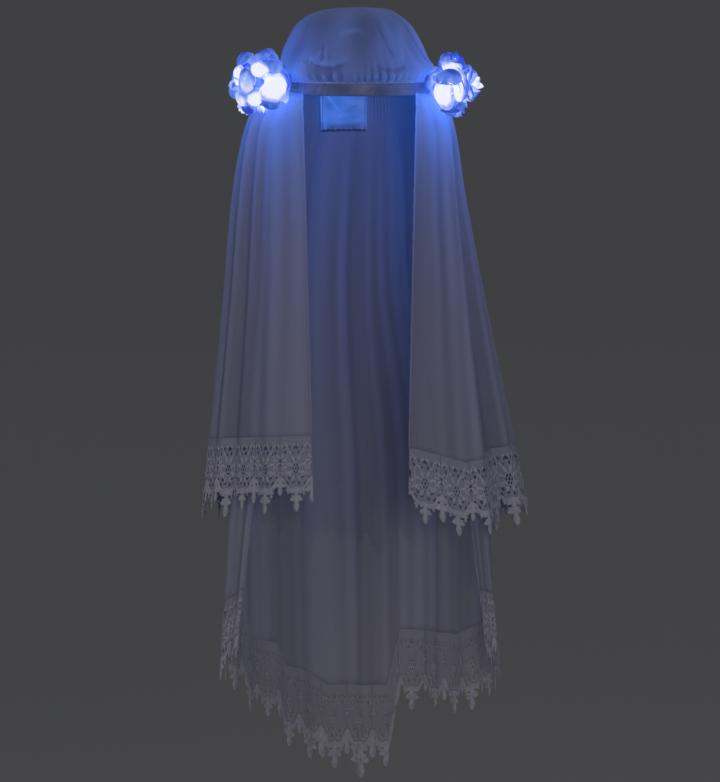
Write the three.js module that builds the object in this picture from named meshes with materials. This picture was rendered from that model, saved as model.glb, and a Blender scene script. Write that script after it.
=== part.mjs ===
// A light-up bridal veil: a puffed net cap gathered on an oval headband, two hanging tiers with lace
// hems, a battery pouch inside the back of the band and a cluster of fabric flowers at each temple.
// Millimetres, +Z up, the wearer looks along -Y. The origin is the middle of the headband.
import * as THREE from "three";

// Headband, an oval ring round the brow
const HEAD_WIDTH = 158;
const HEAD_LENGTH = 192;
const BAND_WALL = 2.5;
const BAND_HEIGHT = 15;
const BAND_ROUNDING = 0.6;
const BAND_STEPS = 48;

// Cloth and the gap kept between pieces that touch
const NET_WALL = 1.2;
const LACE_WALL = 1.1;
const SEAT_GAP = 0.3;

// Crown cap
const CAP_RISE = 90;
const CAP_COLUMNS = 70;
const GATHER_DEPTH = 1.7;
const CROWN_FORWARD = 10;

// Upper tier: its half-axes at the hem, its length and its folds. An opening is the half-width between
// the front edges as a share of the tier's own half-width, at the top and at the hem.
const UPPER_LEFT = 173;
const UPPER_RIGHT = 180;
const UPPER_FRONT = 76;
const UPPER_BACK = 150;
const UPPER_LENGTH = 485;
const UPPER_FOLD_DEPTH = 8.5;
const UPPER_OPENING = 0.81;
const UPPER_OPENING_HEM = 0.33;

// Lower tier: how far its hem stays inside the upper one, its length, folds and opening
const TIER_SPACE_LEFT = 15;
const TIER_SPACE_RIGHT = 17;
const TIER_SPACE_FRONT = 10;
const TIER_SPACE_BACK = 24;
const LOWER_LENGTH = 732;
const LOWER_FOLD_DEPTH = 7;
const LOWER_OPENING = 0.94;
const LOWER_OPENING_HEM = 0.88;

// Lace edges
const LACE_DEPTH = 64;
const LACE_DROP = 26;
const REPEAT_COLUMNS = 3;
const UPPER_REPEATS = 24;
const LOWER_REPEATS = 21;

// Battery pouch
const POUCH_WIDTH = 58;
const POUCH_HEIGHT = 60;
const POUCH_DEPTH = 12;
const POUCH_TOP = 5;
const POUCH_LEFT_OF_MIDDLE = 19;
const POUCH_TAPER = 0.05;
const POUCH_EDGE = 0.35;
const POUCH_COLUMNS = 8;
const POUCH_ROWS = 5;

// Flower clusters: the posts that carry them, the hub in the middle of each, and the largest rose and
// blossom. The standoff is what a post adds to a rose's radius.
const POST_RADIUS = 4;
const POST_FORWARD = 42;
const LEFT_STANDOFF = 17;
const RIGHT_STANDOFF = 8;
const HUB_RADIUS = 14;
const HUB_SIDES = 14;
const HUB_STEPS = 7;
const ROSE_RADIUS = 21;
const ROSE_HEIGHT = 20;
const BLOSSOM_RADIUS = 13;
const BLOSSOM_HEIGHT = 12;
const PETALS = 5;
const COLUMNS_PER_PETAL = 3;

const DEGREE = Math.PI / 180;
const FULL_TURN = 2 * Math.PI;
const AXES = ["left", "right", "front", "back"];
const between = THREE.MathUtils.lerp;

// The four half-axes of an oval that stands off the middle of the band's wall.
function bandOval(offset) {
  const side = HEAD_WIDTH / 2 + BAND_WALL / 2 + offset;
  const fore = HEAD_LENGTH / 2 + BAND_WALL / 2 + offset;
  return { left: side, right: side, front: fore, back: fore };
}

// A point on an oval. Angle 0 is the brow, a quarter turn is the left ear and half a turn the nape.
function ovalPoint(angle, oval) {
  const side = -Math.sin(angle);
  const fore = -Math.cos(angle);
  const sideAxis = side < 0 ? oval.left : oval.right;
  const foreAxis = fore < 0 ? oval.front : oval.back;
  return new THREE.Vector3(side * sideAxis, fore * foreAxis, 0);
}

// The direction that leads straight out of an oval at an angle.
function ovalOutward(angle, oval) {
  const side = -Math.sin(angle);
  const fore = -Math.cos(angle);
  const across = side / (side < 0 ? oval.left : oval.right);
  const along = fore / (fore < 0 ? oval.front : oval.back);
  return new THREE.Vector3(across, along, 0).normalize();
}

// Reads one column of a table whose rows are ordered by their "at" column, straight between rows.
function readTable(table, at, column) {
  const next = table.findIndex((row) => row.at >= at);
  if (next <= 0) return table[Math.max(next, 0)][column];
  const low = table[next - 1];
  const high = table[next];
  return between(low[column], high[column], (at - low.at) / (high.at - low.at));
}

// A closed wall of cloth over a grid. place(column, row) is the middle of the cloth, rows run downwards,
// and keep(column, row) says which cells hold cloth. A tube joins its last column to its first, and a
// crown is the point that closes a tube above its first row.
function clothWall({ columns, rows, wall, place, keep = () => true, tube = false, crown = null }) {
  const { clamp } = THREE.MathUtils;
  const columnPoints = tube ? columns : columns + 1;
  const wrapped = (column) => (tube ? (column + columns) % columns : clamp(column, 0, columns));
  const grid = [];
  for (let column = 0; column < columnPoints; column++) {
    grid.push(Array.from({ length: rows + 1 }, (_, row) => place(column, row)));
  }
  const pointAt = (column, row) => (row < 0 && crown ? crown : grid[wrapped(column)][clamp(row, 0, rows)]);

  const positions = [];
  for (let column = 0; column < columnPoints; column++) {
    for (let row = 0; row <= rows; row++) {
      const alongColumns = pointAt(column + 1, row).clone().sub(pointAt(column - 1, row));
      const alongRows = pointAt(column, row + 1).clone().sub(pointAt(column, row - 1));
      const outward = alongColumns.cross(alongRows).normalize().multiplyScalar(wall / 2);
      positions.push(...grid[column][row].clone().add(outward), ...grid[column][row].clone().sub(outward));
    }
  }

  const triangles = [];
  const outer = (column, row) => (wrapped(column) * (rows + 1) + row) * 2;
  const inner = (column, row) => outer(column, row) + 1;
  const holdsCloth = (column, row) => {
    if (row < 0 || row >= rows) return row < 0 && crown !== null;
    if (!tube && (column < 0 || column >= columns)) return false;
    return keep(wrapped(column), row);
  };
  for (let column = 0; column < columns; column++) {
    for (let row = 0; row < rows; row++) {
      if (!holdsCloth(column, row)) continue;
      const corners = [[column, row], [column + 1, row], [column + 1, row + 1], [column, row + 1]];
      const [outA, outB, outC, outD] = corners.map((corner) => outer(...corner));
      const [inA, inB, inC, inD] = corners.map((corner) => inner(...corner));
      triangles.push(outA, outB, outC, outA, outC, outD, inA, inC, inB, inA, inD, inC);
      const neighbours = [[column, row - 1], [column + 1, row], [column, row + 1], [column - 1, row]];
      neighbours.forEach((neighbour, side) => {
        if (holdsCloth(...neighbour)) return;
        const from = corners[side];
        const to = corners[(side + 1) % corners.length];
        triangles.push(outer(...to), outer(...from), inner(...from));
        triangles.push(outer(...to), inner(...from), inner(...to));
      });
    }
  }
  if (crown) {
    const outerCrown = positions.length / 3;
    positions.push(crown.x, crown.y, crown.z + wall / 2, crown.x, crown.y, crown.z - wall / 2);
    for (let column = 0; column < columns; column++) {
      triangles.push(outerCrown, outer(column + 1, 0), outer(column, 0));
      triangles.push(outerCrown + 1, inner(column, 0), inner(column + 1, 0));
    }
  }
  const geometry = new THREE.BufferGeometry();
  geometry.setAttribute("position", new THREE.Float32BufferAttribute(positions, 3));
  geometry.setIndex(triangles);
  return geometry;
}

// Headband: an oval ring with softly rounded edges.
function headbandGeometry() {
  const outerOval = bandOval(BAND_WALL / 2 - BAND_ROUNDING);
  const innerOval = bandOval(BAND_ROUNDING - BAND_WALL / 2);
  const ring = new THREE.Shape().absellipse(0, 0, outerOval.left, outerOval.back, 0, FULL_TURN);
  ring.holes.push(new THREE.Path().absellipse(0, 0, innerOval.left, innerOval.back, 0, FULL_TURN, true));
  const geometry = new THREE.ExtrudeGeometry(ring, {
    depth: BAND_HEIGHT - 2 * BAND_ROUNDING,
    curveSegments: BAND_STEPS / 2,
    bevelSize: BAND_ROUNDING,
    bevelThickness: BAND_ROUNDING,
    bevelSegments: 1,
  });
  return geometry.translate(0, 0, BAND_ROUNDING - BAND_HEIGHT / 2);
}

// Cap sections from the crown down to the rim: the height as a share of CAP_RISE, the half-axes as shares
// of the band's own oval, and how strongly the gathers show there.
const CAP_SECTIONS = [
  { height: 0.975, left: 0.42, right: 0.38, front: 0.34, back: 0.42, gather: 0 },
  { height: 0.905, left: 0.72, right: 0.55, front: 0.58, back: 0.67, gather: 0 },
  { height: 0.75, left: 0.93, right: 0.74, front: 0.82, back: 0.93, gather: 0.15 },
  { height: 0.52, left: 1.04, right: 0.87, front: 0.98, back: 1.08, gather: 0.3 },
  { height: 0.31, left: 1.13, right: 1, front: 1.06, back: 1.14, gather: 0.5 },
  { height: 0.14, left: 1.17, right: 1.13, front: 1.075, back: 1.15, gather: 0.9 },
  { height: 0.055, left: 1.12, right: 1.1, front: 1.05, back: 1.1, gather: 1.2 },
  { height: 0, left: 1, right: 1, front: 1, back: 1, gather: 0.35 },
];

// Dents and swells of the cap: where they are round the head in degrees and up the cap as a share of its
// rise, how far they spread, and how deep they are as a share of CAP_RISE. A dent is negative.
const CAP_DENTS = [
  { turn: 24, height: 0.14, turnSpread: 12, heightSpread: 0.12, depth: -0.05 },
  { turn: 20, height: 0.4, turnSpread: 14, heightSpread: 0.12, depth: 0.04 },
  { turn: 352, height: 0.7, turnSpread: 16, heightSpread: 0.12, depth: -0.035 },
  { turn: 322, height: 0.5, turnSpread: 9, heightSpread: 0.25, depth: 0.05 },
  { turn: 300, height: 0.45, turnSpread: 9, heightSpread: 0.3, depth: -0.05 },
  { turn: 62, height: 0.5, turnSpread: 9, heightSpread: 0.3, depth: -0.05 },
  { turn: 98, height: 0.5, turnSpread: 9, heightSpread: 0.3, depth: 0.04 },
  { turn: 128, height: 0.45, turnSpread: 11, heightSpread: 0.25, depth: -0.06 },
  { turn: 158, height: 0.45, turnSpread: 10, heightSpread: 0.25, depth: 0.05 },
  { turn: 186, height: 0.5, turnSpread: 10, heightSpread: 0.25, depth: -0.05 },
  { turn: 212, height: 0.45, turnSpread: 10, heightSpread: 0.25, depth: 0.05 },
  { turn: 240, height: 0.45, turnSpread: 11, heightSpread: 0.25, depth: -0.06 },
  { turn: 268, height: 0.5, turnSpread: 9, heightSpread: 0.25, depth: 0.04 },
];

function capSwell(angle, height) {
  let swell = 0;
  for (const dent of CAP_DENTS) {
    const turned = THREE.MathUtils.euclideanModulo(angle / DEGREE - dent.turn + 180, 360) - 180;
    const sideways = turned / dent.turnSpread;
    const upwards = (height - dent.height) / dent.heightSpread;
    swell += dent.depth * CAP_RISE * Math.exp(-(sideways ** 2) - upwards ** 2);
  }
  return swell;
}

// Crown cap: a hollow puff whose gathered rim sits on the top edge of the band.
function crownCapGeometry() {
  const rim = BAND_HEIGHT / 2 + SEAT_GAP + NET_WALL / 2;
  const seat = bandOval(0);
  return clothWall({
    columns: CAP_COLUMNS,
    rows: CAP_SECTIONS.length - 1,
    wall: NET_WALL,
    tube: true,
    crown: new THREE.Vector3(0, -CROWN_FORWARD, rim + CAP_RISE),
    place: (column, row) => {
      const section = CAP_SECTIONS[row];
      const angle = (column / CAP_COLUMNS) * FULL_TURN;
      const oval = {};
      for (const axis of AXES) oval[axis] = seat[axis] * section[axis];
      const gather = (column % 2 ? -1 : 1) * section.gather * GATHER_DEPTH;
      const outward = ovalOutward(angle, oval).multiplyScalar(gather + capSwell(angle, section.height));
      const point = ovalPoint(angle, oval).add(outward);
      return point.setZ(rim + section.height * CAP_RISE);
    },
  });
}

// Tier sections from the band down: the share of the drop, how far each half-axis has gone from the
// band's oval to the hem's, and the share of the fold depth.
const UPPER_SECTIONS = [
  { at: 0, left: 0, right: 0, front: 0, back: 0, fold: 0.16 },
  { at: 0.085, left: 0.53, right: 0.29, front: 0.3, back: 0.3, fold: 0.4 },
  { at: 0.31, left: 0.71, right: 0.43, front: 0.6, back: 0.6, fold: 0.75 },
  { at: 0.6, left: 0.82, right: 0.65, front: 0.8, back: 0.8, fold: 0.9 },
  { at: 1, left: 1, right: 1, front: 1, back: 1, fold: 1 },
];
const LOWER_SECTIONS = [
  { at: 0, left: 0, right: 0, front: 0, back: 0, fold: 0.08 },
  { at: 0.03, left: 0.06, right: 0.05, front: 0.02, back: 0.05, fold: 0.14 },
  { at: 0.12, left: 0.36, right: 0.22, front: 0.3, back: 0.25, fold: 0.5 },
  { at: 0.34, left: 0.62, right: 0.42, front: 0.6, back: 0.55, fold: 0.8 },
  { at: 0.66, left: 0.9, right: 0.86, front: 0.9, back: 0.85, fold: 1 },
  { at: 1, left: 1, right: 1, front: 1, back: 1, fold: 1 },
];

// Hem lines from the left front edge to the right one: where along the cloth, and the drop there as a
// share of the tier's length. The lower hem steps, because its panels were cut ragged.
const UPPER_HEM = [
  { at: 0, drop: 0.85 },
  { at: 0.22, drop: 0.87 },
  { at: 0.36, drop: 0.93 },
  { at: 0.5, drop: 1 },
  { at: 0.62, drop: 0.97 },
  { at: 0.78, drop: 0.88 },
  { at: 0.87, drop: 0.9 },
  { at: 0.92, drop: 0.92 },
  { at: 1, drop: 0.88 },
];
const LOWER_HEM = [
  { at: 0, drop: 0.82 },
  { at: 0.11, drop: 0.85 },
  { at: 0.24, drop: 0.87 },
  { at: 0.27, drop: 0.915 },
  { at: 0.33, drop: 0.925 },
  { at: 0.35, drop: 0.963 },
  { at: 0.4, drop: 0.975 },
  { at: 0.44, drop: 1 },
  { at: 0.55, drop: 1 },
  { at: 0.575, drop: 0.906 },
  { at: 0.7, drop: 0.91 },
  { at: 0.77, drop: 0.885 },
  { at: 0.85, drop: 0.842 },
  { at: 1, drop: 0.82 },
];

// Folds: where along the cloth they are, how far they spread, how deep they are as a share of the tier's
// fold depth, and the share of the drop where they start.
const UPPER_FOLDS = [
  { at: 0.05, spread: 0.022, depth: 0.9, start: 0 },
  { at: 0.13, spread: 0.026, depth: -1, start: 0 },
  { at: 0.21, spread: 0.022, depth: 1, start: 0 },
  { at: 0.28, spread: 0.024, depth: -0.8, start: 0 },
  { at: 0.35, spread: 0.022, depth: 0.8, start: 0 },
  { at: 0.41, spread: 0.022, depth: -1, start: 0 },
  { at: 0.48, spread: 0.022, depth: 0.9, start: 0 },
  { at: 0.55, spread: 0.022, depth: -0.9, start: 0 },
  { at: 0.62, spread: 0.022, depth: 0.9, start: 0 },
  { at: 0.69, spread: 0.024, depth: -0.9, start: 0 },
  { at: 0.765, spread: 0.024, depth: 1, start: 0 },
  { at: 0.845, spread: 0.03, depth: -3.2, start: 0.03 },
  { at: 0.9, spread: 0.022, depth: 1, start: 0 },
  { at: 0.96, spread: 0.02, depth: -0.7, start: 0 },
];
const LOWER_FOLDS = [
  { at: 0.08, spread: 0.03, depth: 1, start: 0 },
  { at: 0.17, spread: 0.026, depth: -1, start: 0 },
  { at: 0.26, spread: 0.026, depth: 0.9, start: 0 },
  { at: 0.35, spread: 0.024, depth: -1, start: 0 },
  { at: 0.43, spread: 0.026, depth: 1, start: 0 },
  { at: 0.52, spread: 0.026, depth: -1, start: 0 },
  { at: 0.61, spread: 0.024, depth: 1, start: 0 },
  { at: 0.7, spread: 0.026, depth: -0.9, start: 0 },
  { at: 0.79, spread: 0.026, depth: 1, start: 0 },
  { at: 0.89, spread: 0.03, depth: -1, start: 0 },
];
const FOLD_SHARE = 0.75;
const RIPPLE_SHARE = 0.3;
const FOLD_ONSET = 0.25;

// The upper tier is gathered on the outside of the band. The lower one hangs under the band, with its
// gathers no further in than the band's inside.
const UPPER_GATHER = UPPER_FOLD_DEPTH * UPPER_SECTIONS[0].fold * (FOLD_SHARE + RIPPLE_SHARE);
const LOWER_GATHER = LOWER_FOLD_DEPTH * LOWER_SECTIONS[0].fold * (FOLD_SHARE + RIPPLE_SHARE);
const UPPER_SEAT = bandOval(BAND_WALL / 2 + SEAT_GAP + NET_WALL / 2 + UPPER_GATHER);
const LOWER_SEAT = bandOval(NET_WALL / 2 + LOWER_GATHER - BAND_WALL / 2);

// The posts leave the band just below its top edge. At the temples the cloth starts under them, and
// behind them it rises to cover the band.
const POST_HEIGHT = BAND_HEIGHT / 2 - POST_RADIUS;
const TEMPLE_SHARE = 0.2;
const TEMPLE_RISE = 0.05;
const BAND_COVER = 0.87;
const UNDER_POST = POST_HEIGHT - POST_RADIUS - 2 * SEAT_GAP - NET_WALL / 2;

const UPPER_TIER = {
  columns: UPPER_REPEATS * REPEAT_COLUMNS,
  sections: UPPER_SECTIONS,
  folds: UPPER_FOLDS,
  ripples: 19,
  foldDepth: UPPER_FOLD_DEPTH,
  seat: UPPER_SEAT,
  hem: { left: UPPER_LEFT, right: UPPER_RIGHT, front: UPPER_FRONT, back: UPPER_BACK },
  openingAtTop: UPPER_OPENING,
  openingAtHem: UPPER_OPENING_HEM,
  top: (across) => {
    const fromEdge = Math.min(across, 1 - across);
    const rise = THREE.MathUtils.smoothstep(fromEdge, TEMPLE_SHARE, TEMPLE_SHARE + TEMPLE_RISE);
    return between(UNDER_POST, (BAND_HEIGHT / 2) * BAND_COVER, rise);
  },
  bottom: (across) => -UPPER_LENGTH * readTable(UPPER_HEM, across, "drop"),
};

const LOWER_TIER = {
  columns: LOWER_REPEATS * REPEAT_COLUMNS,
  sections: LOWER_SECTIONS,
  folds: LOWER_FOLDS,
  ripples: 15,
  foldDepth: LOWER_FOLD_DEPTH,
  seat: LOWER_SEAT,
  hem: {
    left: UPPER_LEFT - TIER_SPACE_LEFT,
    right: UPPER_RIGHT - TIER_SPACE_RIGHT,
    front: UPPER_FRONT - TIER_SPACE_FRONT,
    back: UPPER_BACK - TIER_SPACE_BACK,
  },
  openingAtTop: LOWER_OPENING,
  openingAtHem: LOWER_OPENING_HEM,
  top: () => -BAND_HEIGHT / 2 - SEAT_GAP - NET_WALL / 2,
  bottom: (across) => -LOWER_LENGTH * readTable(LOWER_HEM, across, "drop"),
};

// How far a tier's folds push the cloth out, as a share of its fold depth.
function foldShape(tier, across, down) {
  let push = RIPPLE_SHARE * Math.sin(FULL_TURN * tier.ripples * across + Math.sin(FULL_TURN * 2.5 * across));
  for (const fold of tier.folds) {
    const fallen = THREE.MathUtils.smoothstep(down, fold.start, fold.start + FOLD_ONSET);
    const onset = fold.start === 0 ? 1 : fallen;
    push += FOLD_SHARE * fold.depth * onset * Math.exp(-(((across - fold.at) / fold.spread) ** 2));
  }
  return push;
}

// The middle of a tier's cloth, a share across it from the left front edge and a share down it.
function tierPoint(tier, across, down) {
  const oval = {};
  for (const axis of AXES) {
    oval[axis] = between(tier.seat[axis], tier.hem[axis], readTable(tier.sections, down, axis));
  }
  const turnTo = (side) => {
    const edge = between(tier.openingAtTop * tier.seat[side], tier.openingAtHem * tier.hem[side], down);
    return Math.asin(edge / oval[side]);
  };
  const angle = between(turnTo("left"), FULL_TURN - turnTo("right"), across);
  const push = foldShape(tier, across, down) * tier.foldDepth * readTable(tier.sections, down, "fold");
  const point = ovalPoint(angle, oval).add(ovalOutward(angle, oval).multiplyScalar(push));
  return point.setZ(between(tier.top(across), tier.bottom(across), down));
}

function tierGeometry(tier) {
  return clothWall({
    columns: tier.columns,
    rows: tier.sections.length - 1,
    wall: NET_WALL,
    place: (column, row) => tierPoint(tier, column / tier.columns, tier.sections[row].at),
  });
}

// Lace rows from the tier's hem down: the depth reached as a share of LACE_DEPTH, and what the row above
// that line is. A repeat is three columns, and its middle one holds the eyelet and the drop.
const LACE_ROWS = [
  { depth: 0 },
  { depth: 0.4, kind: "heading" },
  { depth: 0.78, kind: "eyelets" },
  { depth: 1, kind: "footing" },
  { depth: 1, kind: "drops" },
];
const DROP_TAPER = 0.34;

function laceGeometry(tier) {
  const middleOfRepeat = (column) => column % REPEAT_COLUMNS === 1;
  const lastStretch = tier.sections.at(-2).at;
  return clothWall({
    columns: tier.columns,
    rows: LACE_ROWS.length - 1,
    wall: LACE_WALL,
    keep: (column, row) => {
      const kind = LACE_ROWS[row + 1].kind;
      if (kind === "eyelets") return !middleOfRepeat(column);
      if (kind === "drops") return middleOfRepeat(column);
      return true;
    },
    // The lace carries on in the line of the cloth above it, a gap below its hem.
    place: (column, row) => {
      const onDrops = row === LACE_ROWS.length - 1;
      const taper = middleOfRepeat(column) ? DROP_TAPER : -DROP_TAPER;
      const across = THREE.MathUtils.clamp((column + (onDrops ? taper : 0)) / tier.columns, 0, 1);
      const hem = tierPoint(tier, across, 1);
      const fall = hem.clone().sub(tierPoint(tier, across, lastStretch));
      const below = SEAT_GAP + LACE_ROWS[row].depth * LACE_DEPTH + (onDrops ? LACE_DROP : 0);
      return hem.addScaledVector(fall, below / Math.abs(fall.z));
    },
  });
}

// Battery pouch: a soft pocket that follows the inside of the band at the nape and hangs below it. Its
// front is thickest in the middle, and POUCH_EDGE of that at the seams.
function pouchGeometry() {
  const geometry = new THREE.BoxGeometry(1, 1, 1, POUCH_COLUMNS, POUCH_ROWS, 1);
  const position = geometry.getAttribute("position");
  const inside = bandOval(-BAND_WALL / 2 - SEAT_GAP);
  for (let index = 0; index < position.count; index++) {
    const across = position.getX(index);
    const up = position.getY(index);
    const isFront = position.getZ(index) > 0;
    const x = across * POUCH_WIDTH * (1 - POUCH_TAPER * (0.5 - up)) - POUCH_LEFT_OF_MIDDLE;
    const back = inside.back * Math.sqrt(1 - (x / inside.right) ** 2);
    const swell = Math.sqrt(Math.abs(Math.cos(Math.PI * across) * Math.cos(Math.PI * up)));
    const y = isFront ? back - POUCH_DEPTH * between(POUCH_EDGE, 1, swell) : back;
    position.setXYZ(index, x, y, POUCH_TOP + (up - 0.5) * POUCH_HEIGHT);
  }
  return geometry;
}

// Flower profiles from the top of the stalk to the heart: how far out and up each ring is as shares of
// the flower's radius and height, how deep the notches between its petals are, and the turn of its
// petals as a share of one petal.
const ROSE_PROFILE = [
  { out: 0.34, up: 0.12, notch: 0, turn: 0 },
  { out: 1, up: 0.5, notch: 0.24, turn: 0 },
  { out: 0.88, up: 0.66, notch: 0.2, turn: 0 },
  { out: 0.66, up: 0.6, notch: 0.05, turn: 0 },
  { out: 0.6, up: 0.9, notch: 0.18, turn: 0.5 },
  { out: 0.36, up: 0.82, notch: 0, turn: 0.5 },
  { out: 0.26, up: 1, notch: 0.1, turn: 0.25 },
  { out: 0, up: 0.94, notch: 0, turn: 0 },
];
const BLOSSOM_PROFILE = [
  { out: 0.36, up: 0.2, notch: 0, turn: 0 },
  { out: 1, up: 0.9, notch: 0.55, turn: 0 },
  { out: 0.35, up: 0.7, notch: 0.1, turn: 0 },
  { out: 0.25, up: 1, notch: 0, turn: 0 },
  { out: 0, up: 0.9, notch: 0, turn: 0 },
];
const STALK_SHARE = 0.24;

// All petals spread at one distance from the middle of the hub, where the largest rose fills this many
// degrees to each side of its own axis.
const ROSE_SPREAD = 32.2;
const PETAL_REACH = ROSE_RADIUS / Math.tan(ROSE_SPREAD * DEGREE);

// A flower and its stalk on its own +Z axis, with the middle of the hub at the origin.
function flowerGeometry(profile, radius, height) {
  const widest = profile.find((ring) => ring.out === 1);
  const base = PETAL_REACH - widest.up * height;
  const foot = { out: STALK_SHARE, up: (HUB_RADIUS + SEAT_GAP - base) / height, notch: 0, turn: 0 };
  const rings = [{ ...foot, out: 0 }, foot, ...profile];
  const outline = rings.map((ring) => new THREE.Vector2(ring.out * radius, base + ring.up * height));
  const columns = PETALS * COLUMNS_PER_PETAL;
  const geometry = new THREE.LatheGeometry(outline, columns);
  const position = geometry.getAttribute("position");
  for (let index = 0; index < position.count; index++) {
    const ring = rings[index % rings.length];
    const column = Math.floor(index / rings.length) % columns;
    const inPetal = column / COLUMNS_PER_PETAL + ring.turn;
    const notch = (0.5 + 0.5 * Math.cos(FULL_TURN * inPetal)) ** 2 * ring.notch;
    position.setX(index, position.getX(index) * (1 - notch));
    position.setZ(index, position.getZ(index) * (1 - notch));
  }
  return geometry.rotateX(Math.PI / 2);
}

// A hidden post from the band to the hub that carries a cluster, on its own +Z axis, hub at its end.
function postGeometry(length) {
  const outline = [new THREE.Vector2(0, 0), new THREE.Vector2(POST_RADIUS, 0)];
  const meet = Math.asin(POST_RADIUS / HUB_RADIUS);
  for (let step = 0; step <= HUB_STEPS; step++) {
    const angle = between(meet, Math.PI, step / HUB_STEPS);
    outline.push(new THREE.Vector2(Math.sin(angle) * HUB_RADIUS, length - Math.cos(angle) * HUB_RADIUS));
  }
  outline.at(-1).x = 0;
  return new THREE.LatheGeometry(outline, HUB_SIDES).rotateX(Math.PI / 2);
}

// Flowers of the clusters: how far they face outwards from the brow and upwards, in degrees, and how
// wide and deep they are as shares of the largest rose or blossom.
const LEFT_FLOWERS = [
  { name: "rose_left_front", outward: -18, upward: 4, wide: 1, deep: 1 },
  { name: "rose_left_upper", outward: -14, upward: 64, wide: 0.76, deep: 0.9 },
  { name: "rose_left_outer", outward: 58, upward: 4, wide: 0.86, deep: 1 },
  { name: "rose_left_lower", outward: 85, upward: -48, wide: 0.62, deep: 0.8 },
  { name: "rose_left_crown", outward: 118, upward: 48, wide: 0.86, deep: 0.9 },
  { name: "blossom_left_low", outward: 8, upward: -56, wide: 1, deep: 1 },
];
const RIGHT_FLOWERS = [
  { name: "rose_right_front", outward: 0, upward: -4, wide: 0.9, deep: 1 },
  { name: "rose_right_upper", outward: 25, upward: 58, wide: 0.67, deep: 0.9 },
  { name: "rose_right_outer", outward: 75, upward: 6, wide: 0.76, deep: 0.8 },
  { name: "rose_right_low", outward: 38, upward: -60, wide: 0.57, deep: 0.8 },
  { name: "blossom_right_top", outward: 125, upward: 44, wide: 1, deep: 1 },
  { name: "blossom_right_side", outward: 122, upward: -30, wide: 1, deep: 1 },
];

const cloth = (color, roughness) => new THREE.MeshStandardMaterial({ color, roughness, metalness: 0 });
const POST_CLOTH = cloth(0xe6e8f0, 0.8);
const PETAL_CLOTH = cloth(0xf2f4ff, 0.7);
PETAL_CLOTH.emissive.set(0x3d6cff);

function namedMesh(name, geometry, material) {
  const mesh = new THREE.Mesh(geometry, material);
  mesh.name = name;
  return mesh;
}

// One temple's cluster. side is -1 on the left and 1 on the right.
function flowerCluster(side, label, standoff, flowers) {
  const outside = bandOval(BAND_WALL / 2);
  const footHalf = POST_FORWARD - POST_RADIUS;
  const foot = outside.right * Math.sqrt(1 - (footHalf / outside.front) ** 2) + SEAT_GAP;
  const postLength = standoff + ROSE_RADIUS;
  const cluster = new THREE.Group();
  cluster.position.set(side * (foot + postLength), -POST_FORWARD, POST_HEIGHT);

  const axis = new THREE.Vector3(0, 0, 1);
  const post = namedMesh(`flower_post_${label}`, postGeometry(postLength), POST_CLOTH);
  post.quaternion.setFromUnitVectors(axis, new THREE.Vector3(side, 0, 0));
  post.position.x = -side * postLength;
  cluster.add(post);

  for (const { name, outward, upward, wide, deep } of flowers) {
    const isRose = name.startsWith("rose");
    const geometry = isRose
      ? flowerGeometry(ROSE_PROFILE, wide * ROSE_RADIUS, deep * ROSE_HEIGHT)
      : flowerGeometry(BLOSSOM_PROFILE, wide * BLOSSOM_RADIUS, deep * BLOSSOM_HEIGHT);
    const facing = new THREE.Vector3().setFromSphericalCoords(1, (90 - upward) * DEGREE, outward * DEGREE);
    const mesh = namedMesh(name, geometry, PETAL_CLOTH);
    mesh.quaternion.setFromUnitVectors(axis, new THREE.Vector3(side * facing.x, -facing.z, facing.y));
    cluster.add(mesh);
  }
  return cluster;
}

const veil = new THREE.Group();
veil.add(
  namedMesh("headband", headbandGeometry(), cloth(0x8f97b8, 0.45)),
  namedMesh("crown_cap", crownCapGeometry(), cloth(0xc9cfee, 0.85)),
  namedMesh("upper_tier", tierGeometry(UPPER_TIER), cloth(0xc4c8e4, 0.9)),
  namedMesh("upper_lace", laceGeometry(UPPER_TIER), cloth(0xd2d3e2, 0.9)),
  namedMesh("lower_tier", tierGeometry(LOWER_TIER), cloth(0xb9bbcf, 0.9)),
  namedMesh("lower_lace", laceGeometry(LOWER_TIER), cloth(0xcfcfdc, 0.9)),
  namedMesh("battery_pouch", pouchGeometry(), cloth(0x9fc0f5, 0.4)),
  flowerCluster(-1, "left", LEFT_STANDOFF, LEFT_FLOWERS),
  flowerCluster(1, "right", RIGHT_STANDOFF, RIGHT_FLOWERS),
);

export default veil;
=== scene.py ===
"""Light-up bridal veil: a puffed net cap on a satin band, two hanging net tiers with lace hems, a satin
battery pouch inside the back of the band, and a cluster of glowing fabric flowers at each temple.

Metres, +Z up, the wearer looks along -Y, and the origin is the middle of the headband.
"""

import logging
import math
from dataclasses import dataclass, field, replace
from enum import Enum
from typing import Any, Sequence

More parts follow.
